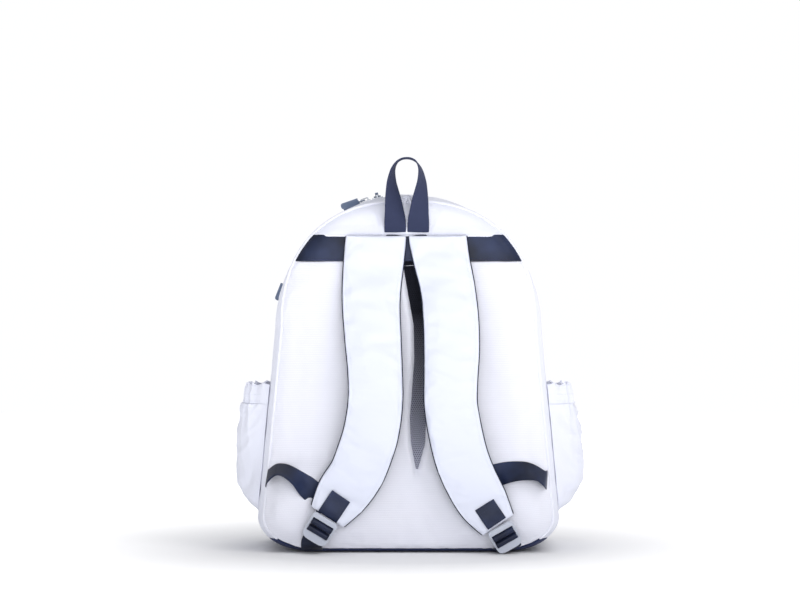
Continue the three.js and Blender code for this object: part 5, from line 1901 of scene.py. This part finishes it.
LAMPS = (
    Lamp("key", (1.5, -1.7, 1.9), 1.1, 16, (1.0, 0.985, 0.97)),
    Lamp("fill", (-1.9, -1.5, 1.0), 1.8, 3, (0.94, 0.96, 1.0)),
    Lamp("low", (0.2, -1.8, 0.12), 1.4, 17, (0.97, 0.98, 1.0)),
    Lamp("top", (0.1, -0.1, 2.2), 1.6, 6),
    Lamp("rear", (0.9, 2.0, 1.4), 1.4, 10),
)


@dataclass
class Studio:
    """The floor, the lights and the camera."""

    camera_at: tuple = (-0.0095, -3.0, 0.283)
    lens: float = 117.2
    sensor: float = 36.0
    bag_middle: float = 0.2  # metres up, where the lights look
    floor_rings: tuple = (300.0, 900.0, 3600.0)
    floor_sides: int = 96
    glow: tuple = (0.2, 0.5)  # metres out where the floor starts to lighten, and over how far
    backdrop: float = 1.03  # the strength of the surroundings
    ambient: float = 0.44  # the share of it that lights the bag

    def build(self) -> None:
        """Builds the studio round the bag."""
        scene = bpy.context.scene
        scene.view_settings.view_transform = "Standard"
        self._floor()
        self._world(scene)
        for lamp in LAMPS:
            self._light(lamp)
        camera = bpy.data.cameras.new("camera")
        camera.lens, camera.sensor_width = self.lens, self.sensor
        camera.clip_start, camera.clip_end = 0.05, 50
        seat = bpy.data.objects.new("camera", camera)
        seat.location = self.camera_at
        seat.rotation_euler = (math.pi / 2, 0, 0)
        scene.collection.objects.link(seat)
        scene.camera = seat

    def _floor(self) -> None:
        """A plain pale floor."""
        sides = self.floor_sides
        angle = np.linspace(0, 2 * math.pi, sides, endpoint=False)
        circle = np.stack((np.cos(angle), np.sin(angle), 0 * angle), axis=1)
        faces = [list(range(sides))]
        for ring in (0, sides):
            for k in range(sides):
                a, b = ring + k, ring + (k + 1) % sides
                faces.append([a, a + sides, b + sides, b])
        floor = new_object("studio_floor", np.vstack([circle * r for r in self.floor_rings]), faces)
        material, g, surface, place_at = start_material("studio_floor")
        speck = g.group("variation", {"Vector": place_at})
        fine = g.math("MULTIPLY", speck.outputs["Fine"], 0.1)
        away = g.node("ShaderNodeVectorMath", operation="LENGTH")
        g.feed(away.inputs[0], place_at)
        past = g.math("SUBTRACT", away.outputs["Value"], self.glow[0])
        g.put(surface, {
            "Base Color": g.mix(fine, (0.94, 0.94, 0.945, 1), (0.9, 0.9, 0.91, 1)),
            "Roughness": 0.9,
            "Specular IOR Level": 0.05,
            "Emission Color": (1, 1, 1, 1),
            "Emission Strength": g.math("DIVIDE", past, self.glow[1], clamp=True),
        })
        floor.data.materials.append(material)

    def _world(self, scene: bpy.types.Scene) -> None:
        """White surroundings that light the bag more softly than they look."""
        world = bpy.data.worlds.new("studio")
        scene.world = world
        world.use_nodes = True
        graph = Graph(world.node_tree)
        world.node_tree.nodes.clear()
        path = graph.node("ShaderNodeLightPath").outputs["Is Camera Ray"]
        back = graph.node("ShaderNodeBackground")
        share = graph.math("MULTIPLY_ADD", path, 1 - self.ambient, self.ambient)
        strength = graph.math("MULTIPLY", share, self.backdrop)
        graph.put(back, {"Color": (0.97, 0.975, 1.0, 1), "Strength": strength})
        output = graph.node("ShaderNodeOutputWorld")
        world.node_tree.links.new(back.outputs[0], output.inputs[0])

    def _light(self, lamp: Lamp) -> None:
        """Sets up one light that looks at the bag."""
        made = bpy.data.lights.new(lamp.name, "AREA")
        made.shape, made.size = "SQUARE", lamp.size
        made.energy, made.color = lamp.power, lamp.colour
        seat = bpy.data.objects.new(lamp.name, made)
        seat.location = lamp.at
        aim = Vector((0, 0, self.bag_middle)) - Vector(lamp.at)
        seat.rotation_euler = aim.to_track_quat("-Z", "Y").to_euler()
        bpy.context.scene.collection.objects.link(seat)


# share of the way down, x, width, gap behind the strap
STRAP_LEFT = ((0, -36, 67.5, 0.6), (0.09, -38.8, 67, 2.6), (0.226, -41.6, 64, 10), (0.37, -39.4, 62, 17),
              (0.477, -37.2, 60, 21), (0.585, -36.6, 60, 22), (0.692, -41, 61, 21), (0.771, -48.2, 61, 19),
              (0.85, -58.2, 60, 16.5), (0.925, -74.3, 58, 13.5), (1, -89.8, 44, 11))
STRAP_RIGHT = ((0, 32.2, 65, 0.6), (0.0875, 37.2, 62, 2.6), (0.184, 43.8, 60, 8), (0.288, 47.1, 61, 14),
               (0.392, 47.9, 61, 18.5), (0.496, 46.9, 59, 21.5), (0.5825, 46.8, 58.5, 22),
               (0.676, 51.6, 59, 20.5), (0.773, 59.3, 59, 18), (0.856, 70.4, 58, 15.5),
               (0.929, 83.7, 55, 13), (1, 99, 42, 11))
# height, how far it stands out
POCKET_LEFT = ((44, 0), (52, 12), (64, 22), (77, 27), (102, 30), (134, 32), (166, 30), (189, 28))
POCKET_RIGHT = ((44, 0), (52, 14), (64, 26), (77, 31), (102, 34), (134, 35), (166, 31.5), (189, 29))


def main() -> None:
    """Builds every sub-assembly round the frame."""
    logging.basicConfig(level=logging.INFO, format="%(message)s")
    form = BodyForm()
    Studio().build()
    BackPanel(form).build()
    BodyShell(form).build()
    RacketCompartment(form).build()
    SidePocket(form, "left", -1, POCKET_LEFT).build()
    SidePocket(form, "right", 1, POCKET_RIGHT).build()
    Strap(form, "left", STRAP_LEFT, 31.0, 20.0, -108.0).build()
    Strap(form, "right", STRAP_RIGHT, -29.6, 28.0, 106.0).build()
    Loops(form).build()
    Sliders().build()


if __name__ == "__main__":
    main()
